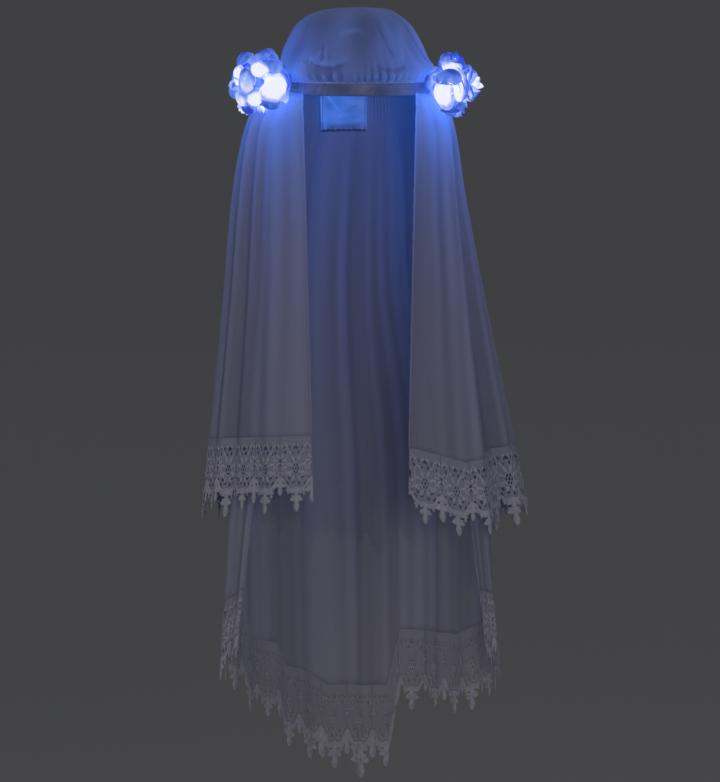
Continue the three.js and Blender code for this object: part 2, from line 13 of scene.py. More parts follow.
import bpy
import numpy as np
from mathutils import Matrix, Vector


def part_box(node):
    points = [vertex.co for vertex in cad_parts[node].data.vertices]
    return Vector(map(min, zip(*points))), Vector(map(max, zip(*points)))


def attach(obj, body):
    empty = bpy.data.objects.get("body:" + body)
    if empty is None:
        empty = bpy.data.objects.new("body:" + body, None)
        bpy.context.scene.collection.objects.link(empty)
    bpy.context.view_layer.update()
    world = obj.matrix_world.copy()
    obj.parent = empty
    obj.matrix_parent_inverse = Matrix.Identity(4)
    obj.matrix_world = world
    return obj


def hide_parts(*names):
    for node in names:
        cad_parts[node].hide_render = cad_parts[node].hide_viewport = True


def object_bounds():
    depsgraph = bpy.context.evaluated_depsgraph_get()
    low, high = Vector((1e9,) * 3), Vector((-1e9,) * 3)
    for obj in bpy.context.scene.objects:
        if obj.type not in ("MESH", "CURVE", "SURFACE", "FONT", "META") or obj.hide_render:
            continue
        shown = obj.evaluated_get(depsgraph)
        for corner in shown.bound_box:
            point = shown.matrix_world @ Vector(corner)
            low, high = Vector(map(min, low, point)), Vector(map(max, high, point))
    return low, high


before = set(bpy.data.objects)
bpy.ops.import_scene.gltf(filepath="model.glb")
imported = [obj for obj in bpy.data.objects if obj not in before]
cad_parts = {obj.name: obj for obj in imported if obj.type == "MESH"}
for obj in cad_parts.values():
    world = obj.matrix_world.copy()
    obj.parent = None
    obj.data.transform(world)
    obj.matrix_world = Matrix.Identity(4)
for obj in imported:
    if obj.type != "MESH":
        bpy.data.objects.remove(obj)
cad_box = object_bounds()

log = logging.getLogger("bridal_veil")

MM = 0.001
DEGREE = math.radians(1.0)
FULL_TURN = 2.0 * math.pi
BODY = "root"

SIDES = ("left", "right", "front", "back")
UPRIGHT = np.array([0.0, 0.0, 1.0])
SIDEWAYS = np.array([1.0, 0.0, 0.0])
FORWARD = np.array([0.0, -1.0, 0.0])
STEEP = 0.9

Grid = np.ndarray
Spot = tuple[float, float]


def ease(value: Grid | float, low: float, high: float) -> Grid:
    """Go softly from 0 at low to 1 at high.

    Args:
        value: Where to read the ramp.
        low: Where the ramp leaves 0.
        high: Where the ramp reaches 1.

    Returns:
        The ramp's value, from 0 to 1.
    """
    share = np.clip((np.asarray(value, dtype=float) - low) / (high - low), 0.0, 1.0)
    return share * share * (3.0 - 2.0 * share)


def hump(value: Grid | float, middle: Grid | float, spread: float) -> Grid:
    """Give a bell curve that is 1 at its middle, and about a third at its spread."""
    return np.exp(-(((value - middle) / spread) ** 2))


def unit(vectors: Grid) -> Grid:
    """Bring vectors to a length of 1."""
    return vectors / np.linalg.norm(vectors, axis=-1, keepdims=True)


def even_turns(count: int) -> Grid:
    """Give evenly spaced angles, once round."""
    return np.arange(count) / count * FULL_TURN


def turn_from(start: float, turn: Grid | float) -> Grid:
    """Give the shorter way round from a start to a turn, in degrees from -180 to 180."""
    return np.mod(turn - start + 180, 360) - 180


def set_out(origin: Grid, axes: Sequence[Grid], *ways: Grid) -> Grid:
    """Go from an origin by a way along each axis."""
    return origin + sum(way[..., None] * axis for way, axis in zip(ways, axes))


def read_rows(rows: Sequence[Any], column: str, at: Grid | float) -> Grid:
    """Read one column of a table as a soft curve that never overshoots its rows.

    Args:
        rows: Table rows, ordered by their "at" field.
        column: The field to read.
        at: Where to read it.

    Returns:
        The column's value at each place.
    """
    known = np.array([row.at for row in rows])
    values = np.array([getattr(row, column) for row in rows], dtype=float)
    steps = np.diff(known)
    rises = np.diff(values) / steps
    slopes = np.empty_like(values)
    slopes[0] = rises[0]
    slopes[-1] = rises[-1]
    product = rises[:-1] * rises[1:]
    total = rises[:-1] + rises[1:]
    slopes[1:-1] = np.where(product > 0, 2.0 * product / np.where(product > 0, total, 1.0), 0.0)
    at = np.clip(np.asarray(at, dtype=float), known[0], known[-1])
    place = np.clip(np.searchsorted(known, at, side="right") - 1, 0, len(steps) - 1)
    step = steps[place]
    t = (at - known[place]) / step
    start, end = values[place], values[place + 1]
    bend_in, bend_out = slopes[place] * step, slopes[place + 1] * step
    return (
        start * (1 + 2 * t) * (1 - t) ** 2
        + bend_in * t * (1 - t) ** 2
        + end * t * t * (3 - 2 * t)
        + bend_out * t * t * (t - 1)
    )


def oval_points(angle: Grid, left: Grid, right: Grid, front: Grid, back: Grid) -> tuple[Grid, Grid]:
    """Find points on ovals, and the level directions that lead straight out of them.

    Args:
        angle: Turn round the head: 0 is the brow, a quarter turn the left ear, half a turn the nape.
        left: Half-axis to the left ear.
        right: Half-axis to the right ear.
        front: Half-axis to the brow.
        back: Half-axis to the nape.

    Returns:
        Points and unit directions, each with three coordinates in its last axis.
    """
    side = -np.sin(angle)
    fore = -np.cos(angle)
    side_axis = np.where(side < 0, left, right)
    fore_axis = np.where(fore < 0, front, back)
    level = np.zeros_like(side * side_axis)
    points = np.stack([side * side_axis, fore * fore_axis, level], axis=-1)
    outward = np.stack([side / side_axis, fore / fore_axis, level], axis=-1)
    return points, unit(outward)


def ripple_noise(turns: Grid, seed: int, slowest: int, fastest: int, count: int = 9) -> Grid:
    """Make an even, repeatable wobble out of a few waves.

    Args:
        turns: Where to read it: the wobble repeats with every whole turn.
        seed: Which wobble.
        slowest: Fewest waves in a turn.
        fastest: Most waves in a turn.
        count: How many waves are added up.

    Returns:
        The wobble, mostly between -1 and 1.
    """
    chance = np.random.default_rng(seed)
    wobble = np.zeros_like(np.asarray(turns, dtype=float))
    for _ in range(count):
        waves = chance.integers(slowest, fastest + 1)
        wobble = wobble + np.sin(FULL_TURN * (waves * turns + chance.random()))
    return wobble / math.sqrt(count)


def make_object(
    name: str, points: Grid, faces: Sequence[Sequence[int]], thickness: float = 0.0
) -> bpy.types.Object:
    """Make a smooth mesh object, as a closed wall of cloth if it has a thickness.

    Args:
        name: The piece's name.
        points: Vertices, one per row.
        faces: Vertex numbers of each face.
        thickness: How thick the cloth is, or 0 to leave the mesh as it is.

    Returns:
        The new object, linked to the scene.
    """
    mesh = bpy.data.meshes.new(name)
    mesh.from_pydata(np.asarray(points).reshape(-1, 3).tolist(), [], [list(face) for face in faces])
    mesh.validate()
    mesh.polygons.foreach_set("use_smooth", [True] * len(mesh.polygons))
    piece = bpy.data.objects.new(name, mesh)
    bpy.context.collection.objects.link(piece)
    if thickness > 0:
        wall = piece.modifiers.new("cloth wall", "SOLIDIFY")
        wall.thickness = thickness
        wall.offset = 0.0
    return piece


def grid_faces(columns: int, rows: int, wrap: bool, keep: Grid | None = None) -> list[list[int]]:
    """List the quads of a grid of points that is stored column by column.

    Args:
        columns: Number of columns of points.
        rows: Number of rows of points.
        wrap: Whether the last column joins the first.
        keep: Which cells hold cloth, or None for all.

    Returns:
        Vertex numbers of each quad.
    """
    faces = []
    for column in range(columns if wrap else columns - 1):
        following = (column + 1) % columns
        for row in range(rows - 1):
            if keep is None or keep[column, row]:
                start = column * rows + row
                across = following * rows + row
                faces.append([start, across, across + 1, start + 1])
    return faces


def mark(piece: bpy.types.Object, name: str, values: Grid) -> None:
    """Store a number on each vertex for the piece's finish to read.

    Args:
        piece: The object.
        name: The attribute's name.
        values: One number a vertex.
    """
    attribute = piece.data.attributes.new(name, "FLOAT", "POINT")
    attribute.data.foreach_set("value", np.asarray(values, dtype=np.float32).ravel())


def tube(path: Grid, radius: Grid | float, sides: int, closed: bool = False) -> tuple[Grid, list[list[int]]]:
    """Make a tube along a path, with closed ends unless the path itself closes.

    Args:
        path: Points along the middle.
        radius: Radius, one number or one for each point.
        sides: Number of sides.
        closed: Whether the path's last point joins its first.

    Returns:
        Vertices and faces.
    """
    count = len(path)
    if closed:
        ahead = np.roll(path, -1, axis=0) - np.roll(path, 1, axis=0)
    else:
        ahead = np.gradient(path, axis=0)
    ahead = unit(ahead)
    hint = np.where(np.abs(ahead[:, 2:3]) > STEEP, SIDEWAYS, UPRIGHT)
    first = unit(np.cross(ahead, hint))
    second = np.cross(ahead, first)
    angles = even_turns(sides)
    radii = np.broadcast_to(np.asarray(radius, dtype=float), (count,))
    ring = (
        np.cos(angles)[None, :, None] * first[:, None, :] + np.sin(angles)[None, :, None] * second[:, None, :]
    )
    points = (path[:, None, :] + ring * radii[:, None, None]).reshape(-1, 3)
    faces = []
    for step in range(count if closed else count - 1):
        here = step * sides
        there = (step + 1) % count * sides
        for side in range(sides):
            beside = (side + 1) % sides
            faces.append([here + side, here + beside, there + beside, there + side])
    if not closed:
        faces.append(list(range(sides))[::-1])
        faces.append([(count - 1) * sides + side for side in range(sides)])
    return points, faces


class MeshPile:
    """Collects parts of one mesh, with numbers marked on their vertices."""

    def __init__(self) -> None:
        """Start with nothing."""
        self.points: list[Grid] = []
        self.faces: list[list[int]] = []
        self.marks: dict[str, list[Grid]] = {}
        self.count = 0

    def add(self, points: Grid, faces: Sequence[Sequence[int]], **marks: Grid | float) -> None:
        """Add one part.

        Args:
            points: Its vertices.
            faces: Its faces, numbered from its own first vertex.
            **marks: Numbers for its vertices, one for all or one each.
        """
        points = np.asarray(points, dtype=float).reshape(-1, 3)
        self.points.append(points)
        self.faces.extend([number + self.count for number in face] for face in faces)
        for name, values in marks.items():
            row = np.broadcast_to(np.asarray(values, dtype=float).ravel(), (len(points),))
            self.marks.setdefault(name, []).append(row)
        self.count += len(points)

    def make(self, name: str, thickness: float = 0.0) -> bpy.types.Object:
        """Make the object.

        Args:
            name: The piece's name.
            thickness: How thick its cloth is, or 0 where the parts are closed already.

        Returns:
            The new object with its marks.
        """
        piece = make_object(name, np.concatenate(self.points), self.faces, thickness)
        for mark_name, values in self.marks.items():
            mark(piece, mark_name, np.concatenate(values))
        return piece


# Finishes

Socket = bpy.types.NodeSocket
Colour = tuple[float, float, float]

# Colour of the clusters' light, painted as emission on the cloth, band and pouch round them.
LAMP_BLUE: Colour = (0.0, 0.17, 1.0)


class Recipe:
    """A material in the making: adds nodes and joins them."""

    def __init__(self, name: str) -> None:
        """Start a material with its shader and output.

        Args:
            name: The material's name.
        """
        self.material = bpy.data.materials.new(name)
        self.material.use_nodes = True
        self.material.cycles.emission_sampling = "NONE"
        self.tree = self.material.node_tree
        self.shader = self.tree.nodes["Principled BSDF"]
        self.place = self.node("ShaderNodeTexCoord").outputs["Object"]

    def node(self, kind: str, **settings: Any) -> bpy.types.Node:
        """Add a node.

        Args:
            kind: Blender's name of the node.
            **settings: Properties to set on it.

        Returns:
            The node.
        """
        made = self.tree.nodes.new(kind)
        for name, value in settings.items():
            setattr(made, name, value)
        return made

    def feed(self, target: Socket, value: Any) -> None:
        """Join a socket to a socket, or set it to a value.

        Args:
            target: The input.
            value: An output to join, or a number, colour or vector to set.
        """
        if isinstance(value, bpy.types.NodeSocket):
            self.tree.links.new(value, target)
        else:
            target.default_value = value

    def set(self, **inputs: Any) -> None:
        """Feed the shader's inputs.

        Args:
            **inputs: Values or sockets, named as the shader names them, with underscores for spaces.
        """
        for name, value in inputs.items():
            if isinstance(value, tuple) and len(value) == 3:
                value = (*value, 1.0)
            self.feed(self.shader.inputs[name.replace("_", " ")], value)

    def math(self, operation: str, first: Any, second: Any = 0.0, third: Any = 0.0) -> Socket:
        """Work out a number.

        Args:
            operation: The sum to do.
            first: First value or socket.
            second: Second value or socket.
            third: Third value or socket.

        Returns:
            The result.
        """
        made = self.node("ShaderNodeMath", operation=operation)
        for target, value in zip(made.inputs, (first, second, third)):
            self.feed(target, value)
        return made.outputs[0]

    def mix(self, share: Any, first: Any, second: Any) -> Socket:
        """Mix two colours.

        Args:
            share: How much of the second.
            first: First colour or socket.
            second: Second colour or socket.

        Returns:
            The mixed colour.
        """
        made = self.node("ShaderNodeMix", data_type="RGBA")
        for target, value in zip((made.inputs[0], made.inputs[6], made.inputs[7]), (share, first, second)):
            self.feed(target, (*value, 1.0) if isinstance(value, tuple) and len(value) == 3 else value)
        return made.outputs[2]

    def blend(self, share: Socket, low: float, high: float, first: Colour, second: Colour) -> Socket:
        """Mix two colours softly, from the first where a number is low to the second where it is high."""
        return self.mix(self.rescale(share, low, high, 0.0, 1.0), first, second)

    def ramp(self, share: Socket, stops: Sequence[tuple[float, Colour]]) -> Socket:
        """Turn a number into a colour.

        Args:
            share: The number, from 0 to 1.
            stops: Places and their colours, in order.

        Returns:
            The colour.
        """
        made = self.node("ShaderNodeValToRGB")
        elements = made.color_ramp.elements
        while len(elements) < len(stops):
            elements.new(1.0)
        for element, (at, colour) in zip(elements, stops):
            element.position = at
            element.color = (*colour, 1.0)
        self.feed(made.inputs[0], share)
        return made.outputs[0]

    def rescale(self, value: Socket, low: float, high: float, new_low: float, new_high: float) -> Socket:
        """Bring a number from one span to another, softly.

        Args:
            value: The number.
            low: Where it starts.
            high: Where it ends.
            new_low: What low becomes.
            new_high: What high becomes.

        Returns:
            The new number.
        """
        made = self.node("ShaderNodeMapRange", interpolation_type="SMOOTHSTEP")
        for target, number in zip(made.inputs, (value, low, high, new_low, new_high)):
            self.feed(target, number)
        return made.outputs[0]

    def noise(self, size: float, detail: float = 3.0, stretch: Colour = (1.0, 1.0, 1.0)) -> Socket:
        """Add soft irregular spots.

        Args:
            size: How far apart they are, in metres.
            detail: How much fine structure they have.
            stretch: How much shorter they are along each axis.

        Returns:
            A number from 0 to 1.
        """
        squeezed = self.node("ShaderNodeVectorMath", operation="MULTIPLY")
        self.feed(squeezed.inputs[0], self.place)
        self.feed(squeezed.inputs[1], stretch)
        made = self.node("ShaderNodeTexNoise")
        self.feed(made.inputs["Vector"], squeezed.outputs[0])
        made.inputs["Scale"].default_value = 1.0 / size
        made.inputs["Detail"].default_value = detail
        return made.outputs["Fac"]

    def waves(self, pitch: float, direction: str, bend: float = 0.0) -> Socket:
        """Add even stripes, such as threads.

        Args:
            pitch: From one stripe to the next, in metres.
            direction: The axis they follow each other along, X, Y, Z or DIAGONAL.
            bend: How much they wander.

        Returns:
            A number from 0 to 1.
        """
        made = self.node("ShaderNodeTexWave", bands_direction=direction)
        self.feed(made.inputs["Vector"], self.place)
        made.inputs["Scale"].default_value = FULL_TURN / 20.0 / pitch
        made.inputs["Distortion"].default_value = bend
        made.inputs["Detail"].default_value = 1.0
        return made.outputs["Fac"]

    def marked(self, name: str) -> Socket:
        """Read a number marked on the vertices."""
        return self.node("ShaderNodeAttribute", attribute_name=name).outputs["Fac"]

    def honeycomb(self, size: float) -> Socket:
        """Add the six-sided meshes of net, laid out flat as the cloth was cut.

        Args:
            size: From one mesh to the next, in metres.

        Returns:
            A number that is 1 on the threads and 0 in the openings.
        """
        run = self.marked("run")
        fall = self.marked("fall")
        pace = 2.0 * FULL_TURN / (math.sqrt(3.0) * size)
        total: Any = 0.0
        for turn in (0.0, 60.0, 120.0):
            along = self.math("MULTIPLY", run, pace * math.cos(turn * DEGREE))
            phase = self.math("MULTIPLY_ADD", fall, pace * math.sin(turn * DEGREE), along)
            total = self.math("ADD", total, self.math("COSINE", phase))
        return self.rescale(total, -1.25, -0.35, 1.0, 0.0)

    def bump(self, height: Socket, strength: float, depth: float) -> None:
        """Raise the surface by a height.

        Args:
            height: The height, from 0 to 1.
            strength: How strongly it shows.
            depth: How high 1 is, in metres.
        """
        made = self.node("ShaderNodeBump")
        made.inputs["Strength"].default_value = strength
        made.inputs["Distance"].default_value = depth
        self.feed(made.inputs["Height"], height)
        self.feed(self.shader.inputs["Normal"], made.outputs[0])


@dataclass(frozen=True)
class Glow:
    """Painted light that a flower cluster sheds on the cloth round it: from where, how strong, and how soft it
    is close up.
    """

    middle: Colour
    power: float
    softness: float


@dataclass(frozen=True)
class Lighting:
    """The light of both clusters, painted into the cloth round them as emission."""

    glows: tuple[Glow, ...]
    colour: Colour = LAMP_BLUE

    def reach(self, recipe: Recipe) -> Socket:
        """Work out how much of the clusters' light reaches each place.

        Args:
            recipe: The material that needs it.

        Returns:
            A number that falls with the square of the distance.
        """
        total: Any = 0.0
        for glow in self.glows:
            away = recipe.node("ShaderNodeVectorMath", operation="DISTANCE")
            recipe.feed(away.inputs[0], recipe.place)
            recipe.feed(away.inputs[1], glow.middle)
            way = away.outputs["Value"]
            square = recipe.math("MULTIPLY_ADD", way, way, glow.softness**2)
            total = recipe.math("ADD", total, recipe.math("DIVIDE", glow.power, square))
        return total


@dataclass(frozen=True)
class NetFinish:
    """Fine six-sided net, with the clusters' light painted on as emission and painted shade in the depth of
    its folds.
    """

    name: str
    lighting: Lighting
    colour: Colour
    shade_colour: Colour
    open_share: float
    thread_share: float
    glow_share: float
    mesh_size: float = 1.15 * MM

    def make(self) -> bpy.types.Material:
        """Make the material.

        Returns:
            The net material.
        """
        recipe = Recipe(self.name)
        thread = recipe.honeycomb(self.mesh_size)
        # Painted shade: the streaks and the fold mark darken the net towards its shade colour in fold hollows.
        streaks = recipe.noise(34 * MM, 2.0, (1.0, 1.0, 0.07))
        fold = recipe.rescale(recipe.marked("fold"), -1.0, 1.0, 0.0, 1.0)
        depth = recipe.math("MULTIPLY_ADD", streaks, 0.3, recipe.math("MULTIPLY", fold, 0.7))
        recipe.set(
            Base_Color=recipe.blend(depth, 0.2, 0.85, self.shade_colour, self.colour),
            Roughness=recipe.rescale(streaks, 0.3, 0.7, 0.7, 0.88),
            Alpha=recipe.math("MULTIPLY_ADD", thread, self.thread_share - self.open_share, self.open_share),
            Sheen_Weight=0.35,
            Sheen_Roughness=0.4,
            Specular_IOR_Level=0.2,
            # Painted light: emission stands in for the clusters' light on the net, brighter on fold crests and
            # dimmer in hollows.
            Emission_Color=self.lighting.colour,
            Emission_Strength=recipe.math(
                "MULTIPLY",
                self.lighting.reach(recipe),
                recipe.rescale(depth, 0.15, 0.9, 0.6 * self.glow_share, 1.3 * self.glow_share),
            ),
        )
        recipe.bump(thread, 0.3, 0.2 * MM)
        recipe.material.use_transparent_shadow = False
        return recipe.material


@dataclass(frozen=True)
class SatinFinish:
    """Smooth satin with fine threads and soft creases, with the clusters' light painted on as emission."""

    name: str
    lighting: Lighting
    colour: Colour
    shade_colour: Colour
    glow_share: float
    glow_colour: Colour = LAMP_BLUE
    thread: float = 0.45 * MM

    def make(self) -> bpy.types.Material:
        """Make the material.

        Returns:
            The satin material.
        """
        recipe = Recipe(self.name)
        warp = recipe.waves(self.thread, "X", 0.4)
        weft = recipe.waves(self.thread, "Z", 0.4)
        cloud = recipe.noise(30 * MM, 2.0, (1.0, 1.0, 2.4))
        weave = recipe.math("MULTIPLY_ADD", warp, 0.5, recipe.math("MULTIPLY", weft, 0.5))
        recipe.set(
            Base_Color=recipe.blend(cloud, 0.35, 0.65, self.shade_colour, self.colour),
            Roughness=recipe.rescale(weave, 0.0, 1.0, 0.28, 0.42),
            Sheen_Weight=0.25,
            Sheen_Roughness=0.35,
            Specular_IOR_Level=0.55,
            Anisotropic=0.5,
            # Painted light: emission stands in for the clusters' light, raised on ridges and lowered in
            # hollows where the piece marks its folds.
            Emission_Color=self.glow_colour,
            Emission_Strength=recipe.math(
                "MULTIPLY",
                self.lighting.reach(recipe),
                recipe.math(
                    "MULTIPLY_ADD",
                    recipe.marked("fold"),
                    0.28 * self.glow_share,
                    recipe.rescale(cloud, 0.3, 0.7, 0.85 * self.glow_share, 1.1 * self.glow_share),
                ),
            ),
        )
        recipe.bump(weave, 0.25, 0.1 * MM)
        return recipe.material


@dataclass(frozen=True)
class ThreadFinish:
    """Embroidery cotton, as lace, stitches and wrapped stems have it."""

    name: str
    lighting: Lighting
    colour: Colour
    shade_colour: Colour
    glow_share: float
    twist: float = 0.7 * MM

    def make(self) -> bpy.types.Material:
        """Make the material.

        Returns:
            The thread material.
        """
        recipe = Recipe(self.name)
        strands = recipe.waves(self.twist, "DIAGONAL", 1.5)
        cloud = recipe.noise(5 * MM, 4.0)
        recipe.set(
            Base_Color=recipe.blend(cloud, 0.35, 0.65, self.shade_colour, self.colour),
            Roughness=recipe.rescale(strands, 0.0, 1.0, 0.6, 0.82),
            Sheen_Weight=0.3,
            Sheen_Roughness=0.5,
            Specular_IOR_Level=0.25,
            # Painted light: emission stands in for the clusters' light on the thread.
            Emission_Color=self.lighting.colour,
            Emission_Strength=recipe.math("MULTIPLY", self.lighting.reach(recipe), self.glow_share),
        )
        recipe.bump(strands, 0.5, 0.35 * MM)
        return recipe.material


@dataclass(frozen=True)
class LaceFinish:
    """Embroidered lace: solid cotton cords on a fine net ground."""

    name: str
    lighting: Lighting
    cord_colour: Colour
    ground_colour: Colour
    glow_share: float
    open_share: float = 0.5
    mesh_size: float = 1.3 * MM
    stitch: float = 0.8 * MM

    def make(self) -> bpy.types.Material:
        """Make the material.

        Returns:
            The lace material.
        """
        recipe = Recipe(self.name)
        cord = recipe.marked("cord")
        thread = recipe.honeycomb(self.mesh_size)
        cover = recipe.math("MAXIMUM", cord, thread)
        strands = recipe.waves(self.stitch, "DIAGONAL", 1.2)
        worn = recipe.rescale(recipe.noise(11 * MM, 3.0), 0.38, 0.62, 0.25, 1.0)
        recipe.set(
            Base_Color=recipe.mix(recipe.math("MULTIPLY", cord, worn), self.ground_colour, self.cord_colour),
            Roughness=recipe.rescale(strands, 0.0, 1.0, 0.65, 0.85),
            Alpha=recipe.math("MULTIPLY_ADD", cover, 0.98 - self.open_share, self.open_share),
            Sheen_Weight=0.3,
            Sheen_Roughness=0.5,
            Specular_IOR_Level=0.2,
            # Painted light: emission stands in for the clusters' light on the lace.
            Emission_Color=self.lighting.colour,
            Emission_Strength=recipe.math("MULTIPLY", self.lighting.reach(recipe), self.glow_share),
        )
        recipe.bump(strands, 0.4, 0.3 * MM)
        recipe.material.use_transparent_shadow = False
        return recipe.material


@dataclass(frozen=True)
class PetalFinish:
    """Sheer petal cloth whose emission paints the light of the flower's heart, with a painted highlight along
    its rolled rim.
    """

    name: str
    deep_colour: Colour = (0.05, 0.11, 0.42)
    pale_colour: Colour = (0.1, 0.18, 0.55)
    # Colours of the painted light, from dim deep blue to the white nearest a lamp.
    stops: tuple[tuple[float, Colour], ...] = (
        (0.0, (0.006, 0.022, 0.2)),
        (0.26, (0.022, 0.07, 0.56)),
        (0.46, (0.12, 0.24, 0.8)),
        (0.68, (0.38, 0.48, 0.9)),
        (0.88, (0.87, 0.86, 0.95)),
    )

    def make(self) -> bpy.types.Material:
        """Make the material.

        Returns:
            The petal material.
        """
        recipe = Recipe(self.name)
        veins = recipe.noise(7 * MM, 3.0, (1.0, 1.0, 0.6))
        weave = recipe.waves(0.4 * MM, "DIAGONAL", 0.6)
        # Painted light from the glow mark, with a painted highlight on the rim and a little random change from
        # the veins.
        light = recipe.math("MULTIPLY_ADD", recipe.marked("rim"), 0.05, recipe.marked("glow"))
        light = recipe.math("MULTIPLY_ADD", recipe.rescale(veins, 0.3, 0.7, -1.0, 1.0), 0.06, light)
        recipe.set(
            Base_Color=recipe.blend(veins, 0.3, 0.7, self.deep_colour, self.pale_colour),
            Roughness=recipe.rescale(veins, 0.3, 0.7, 0.5, 0.7),
            Sheen_Weight=0.1,
            Sheen_Roughness=0.3,
            Specular_IOR_Level=0.3,
            Emission_Color=recipe.ramp(light, self.stops),
            Emission_Strength=recipe.rescale(light, 0.0, 1.0, 0.75, 0.96),
        )
        relief = recipe.math("MULTIPLY_ADD", veins, 0.8, recipe.math("MULTIPLY", weave, 0.2))
        recipe.bump(relief, 0.4, 0.4 * MM)
        recipe.material.cycles.emission_sampling = "AUTO"
        return recipe.material


@dataclass(frozen=True)
class BulbFinish:
    """Clear moulded plastic with a lit core."""

    name: str
    deep_colour: Colour = (0.75, 0.83, 1.0)
    pale_colour: Colour = (0.92, 0.96, 1.0)
    light_colour: Colour = (0.82, 0.88, 1.0)

    def make(self) -> bpy.types.Material:
        """Make the material.

        Returns:
            The bulb material.
        """
        recipe = Recipe(self.name)
        flow = recipe.noise(2 * MM, 2.0)
        recipe.set(
            Base_Color=recipe.mix(flow, self.deep_colour, self.pale_colour),
            Roughness=recipe.rescale(flow, 0.3, 0.7, 0.08, 0.2),
            Emission_Color=self.light_colour,
            Emission_Strength=recipe.rescale(flow, 0.2, 0.8, 0.8, 1.0),
        )
        recipe.bump(flow, 0.2, 0.2 * MM)
        return recipe.material


@dataclass(frozen=True)
class FloorFinish:
    """Plain pale studio floor."""

    name: str = "pale_floor"
    colour: Colour = (0.6, 0.6, 0.61)

    def make(self) -> bpy.types.Material:
        """Make the material.

        Returns:
            The floor material.
        """
        recipe = Recipe(self.name)
        cloud = recipe.noise(0.9, 2.0)
        darker = tuple(0.97 * part for part in self.colour)
        recipe.set(
            Base_Color=recipe.mix(cloud, darker, self.colour),
            Roughness=recipe.rescale(cloud, 0.2, 0.8, 0.85, 0.95),
            Specular_IOR_Level=0.1,
        )
        return recipe.material


def finish_piece(
    piece: bpy.types.Object, material: bpy.types.Material, slot: str, *nodes: str
) -> bpy.types.Object:
    """Dress a piece, let it ride on the body and have it stand for its nodes.

    Args:
        piece: The object.
        material: Its material.
        slot: Not used.
        *nodes: Nodes that it replaces.

    Returns:
        The same object.
    """
    piece.data.materials.clear()
    piece.data.materials.append(material)
    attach(piece, BODY)
    if nodes:
        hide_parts(*nodes)
    log.info("%s: %d faces", piece.name, len(piece.data.polygons))
    return piece


# Headband


@dataclass
class Headband:
    """The satin covered oval ring that the rest hangs on."""

    head_width: float = 158 * MM
    head_length: float = 192 * MM
    wall: float = 2.5 * MM
    height: float = 15 * MM
    rounding: float = 0.9 * MM
    columns: int = 480
    piping: float = 0.75 * MM

    def axes(self, offset: float) -> tuple[float, float]:
        """Give the half-axes of the oval that stands off the middle of the band's wall.

        Args:
            offset: How far out.

        Returns:
            The half-axis to the side and the one to the front and back.
        """
        middle = self.wall / 2 + offset
        return self.head_width / 2 + middle, self.head_length / 2 + middle

    def around(self, angle: Grid, offset: Grid | float, z: Grid | float) -> Grid:
        """Find places round the band.

        Args:
            angle: Turn round the head.
            offset: How far out of the middle of the wall.
            z: Height.

        Returns:
            Points.
        """
        side, fore = self.axes(0.0)
        points, outward = oval_points(angle, side, side, fore, fore)
        points = points + outward * np.asarray(offset)[..., None]
        points[..., 2] = z
        return points

    def section(self) -> list[tuple[float, float]]:
        """Give the rounded outline across the wall, as offsets and heights.

        Returns:
            Corner points, in order.
        """
        outline = []
        for turn in range(4):
            sideways = 1 if turn in (0, 3) else -1
            upwards = 1 if turn in (0, 1) else -1
            for step in range(4):
                angle = (turn + step / 3) * math.pi / 2
                offset = sideways * (self.wall / 2 - self.rounding) + math.cos(angle) * self.rounding
                z = upwards * (self.height / 2 - self.rounding) + math.sin(angle) * self.rounding
                outline.append((offset, z))
            if turn in (0, 2):
                continue
            run = 7
            direction = -1 if turn == 1 else 1
            for step in range(1, run):
                share = 1 - 2 * step / run
                z = -direction * share * (self.height / 2 - self.rounding)
                outline.append((sideways * self.wall / 2, z))
        return outline

    def build(self) -> bpy.types.Object:
        """Make the satin ring with soft creases on its outside.

        Returns:
            The band.
        """
        angle = even_turns(self.columns)
        outline = self.section()
        rows = []
        temple = hump(np.abs(np.sin(angle)), 0.75, 0.25)
        for offset, z in outline:
            up = z / self.height
            turns = angle / FULL_TURN
            crease = ripple_noise(turns + 0.012 * up, 3, 14, 60) * (0.12 + 0.22 * temple)
            tuck = -0.35 * hump(up, 0.12, 0.09) * (1 if offset > 0 else 0)
            rows.append(self.around(angle, offset + (crease + tuck) * MM * (1 if offset > 0 else 0.3), z))
        points = np.stack(rows, axis=1)
        faces = []
        count = len(outline)
        for column in range(self.columns):
            following = (column + 1) % self.columns
            for row in range(count):
                below = (row + 1) % count
                faces.append([
                    column * count + row, column * count + below,
                    following * count + below, following * count + row,
                ])
        return make_object("headband_satin", points, faces)

    def build_piping(self) -> bpy.types.Object:
        """Make the thin corded edge along the bottom of the outside.

        Returns:
            The piping.
        """
        angle = even_turns(self.columns)
        path = self.around(angle, self.wall / 2 + self.piping * 0.5, -self.height / 2 + self.piping * 1.6)
        points, faces = tube(path, self.piping, 8, closed=True)
        return make_object("headband_piping", points, faces)


# Crown cap


@dataclass(frozen=True)
class CapSection:
    """A level ring of the cap, as shares of its rise and of the band's oval."""

    at: float
    height: float
    left: float
    right: float
    front: float
    back: float
    gather: float


@dataclass(frozen=True)
class Dent:
    """A soft dent, or a swell where its depth is above 0: turn and spread in degrees, the rest as shares."""

    turn: float
    height: float
    turn_spread: float
    height_spread: float
    depth: float


@dataclass(frozen=True)
class Crease:
    """A narrow fold line between two places on the cap, in degrees and shares of the rise.

    It sags between them, and its depth is in millimetres, above 0 for a ridge.
    """

    start: tuple[float, float]
    end: tuple[float, float]
    sag: float
    width: float
    depth: float


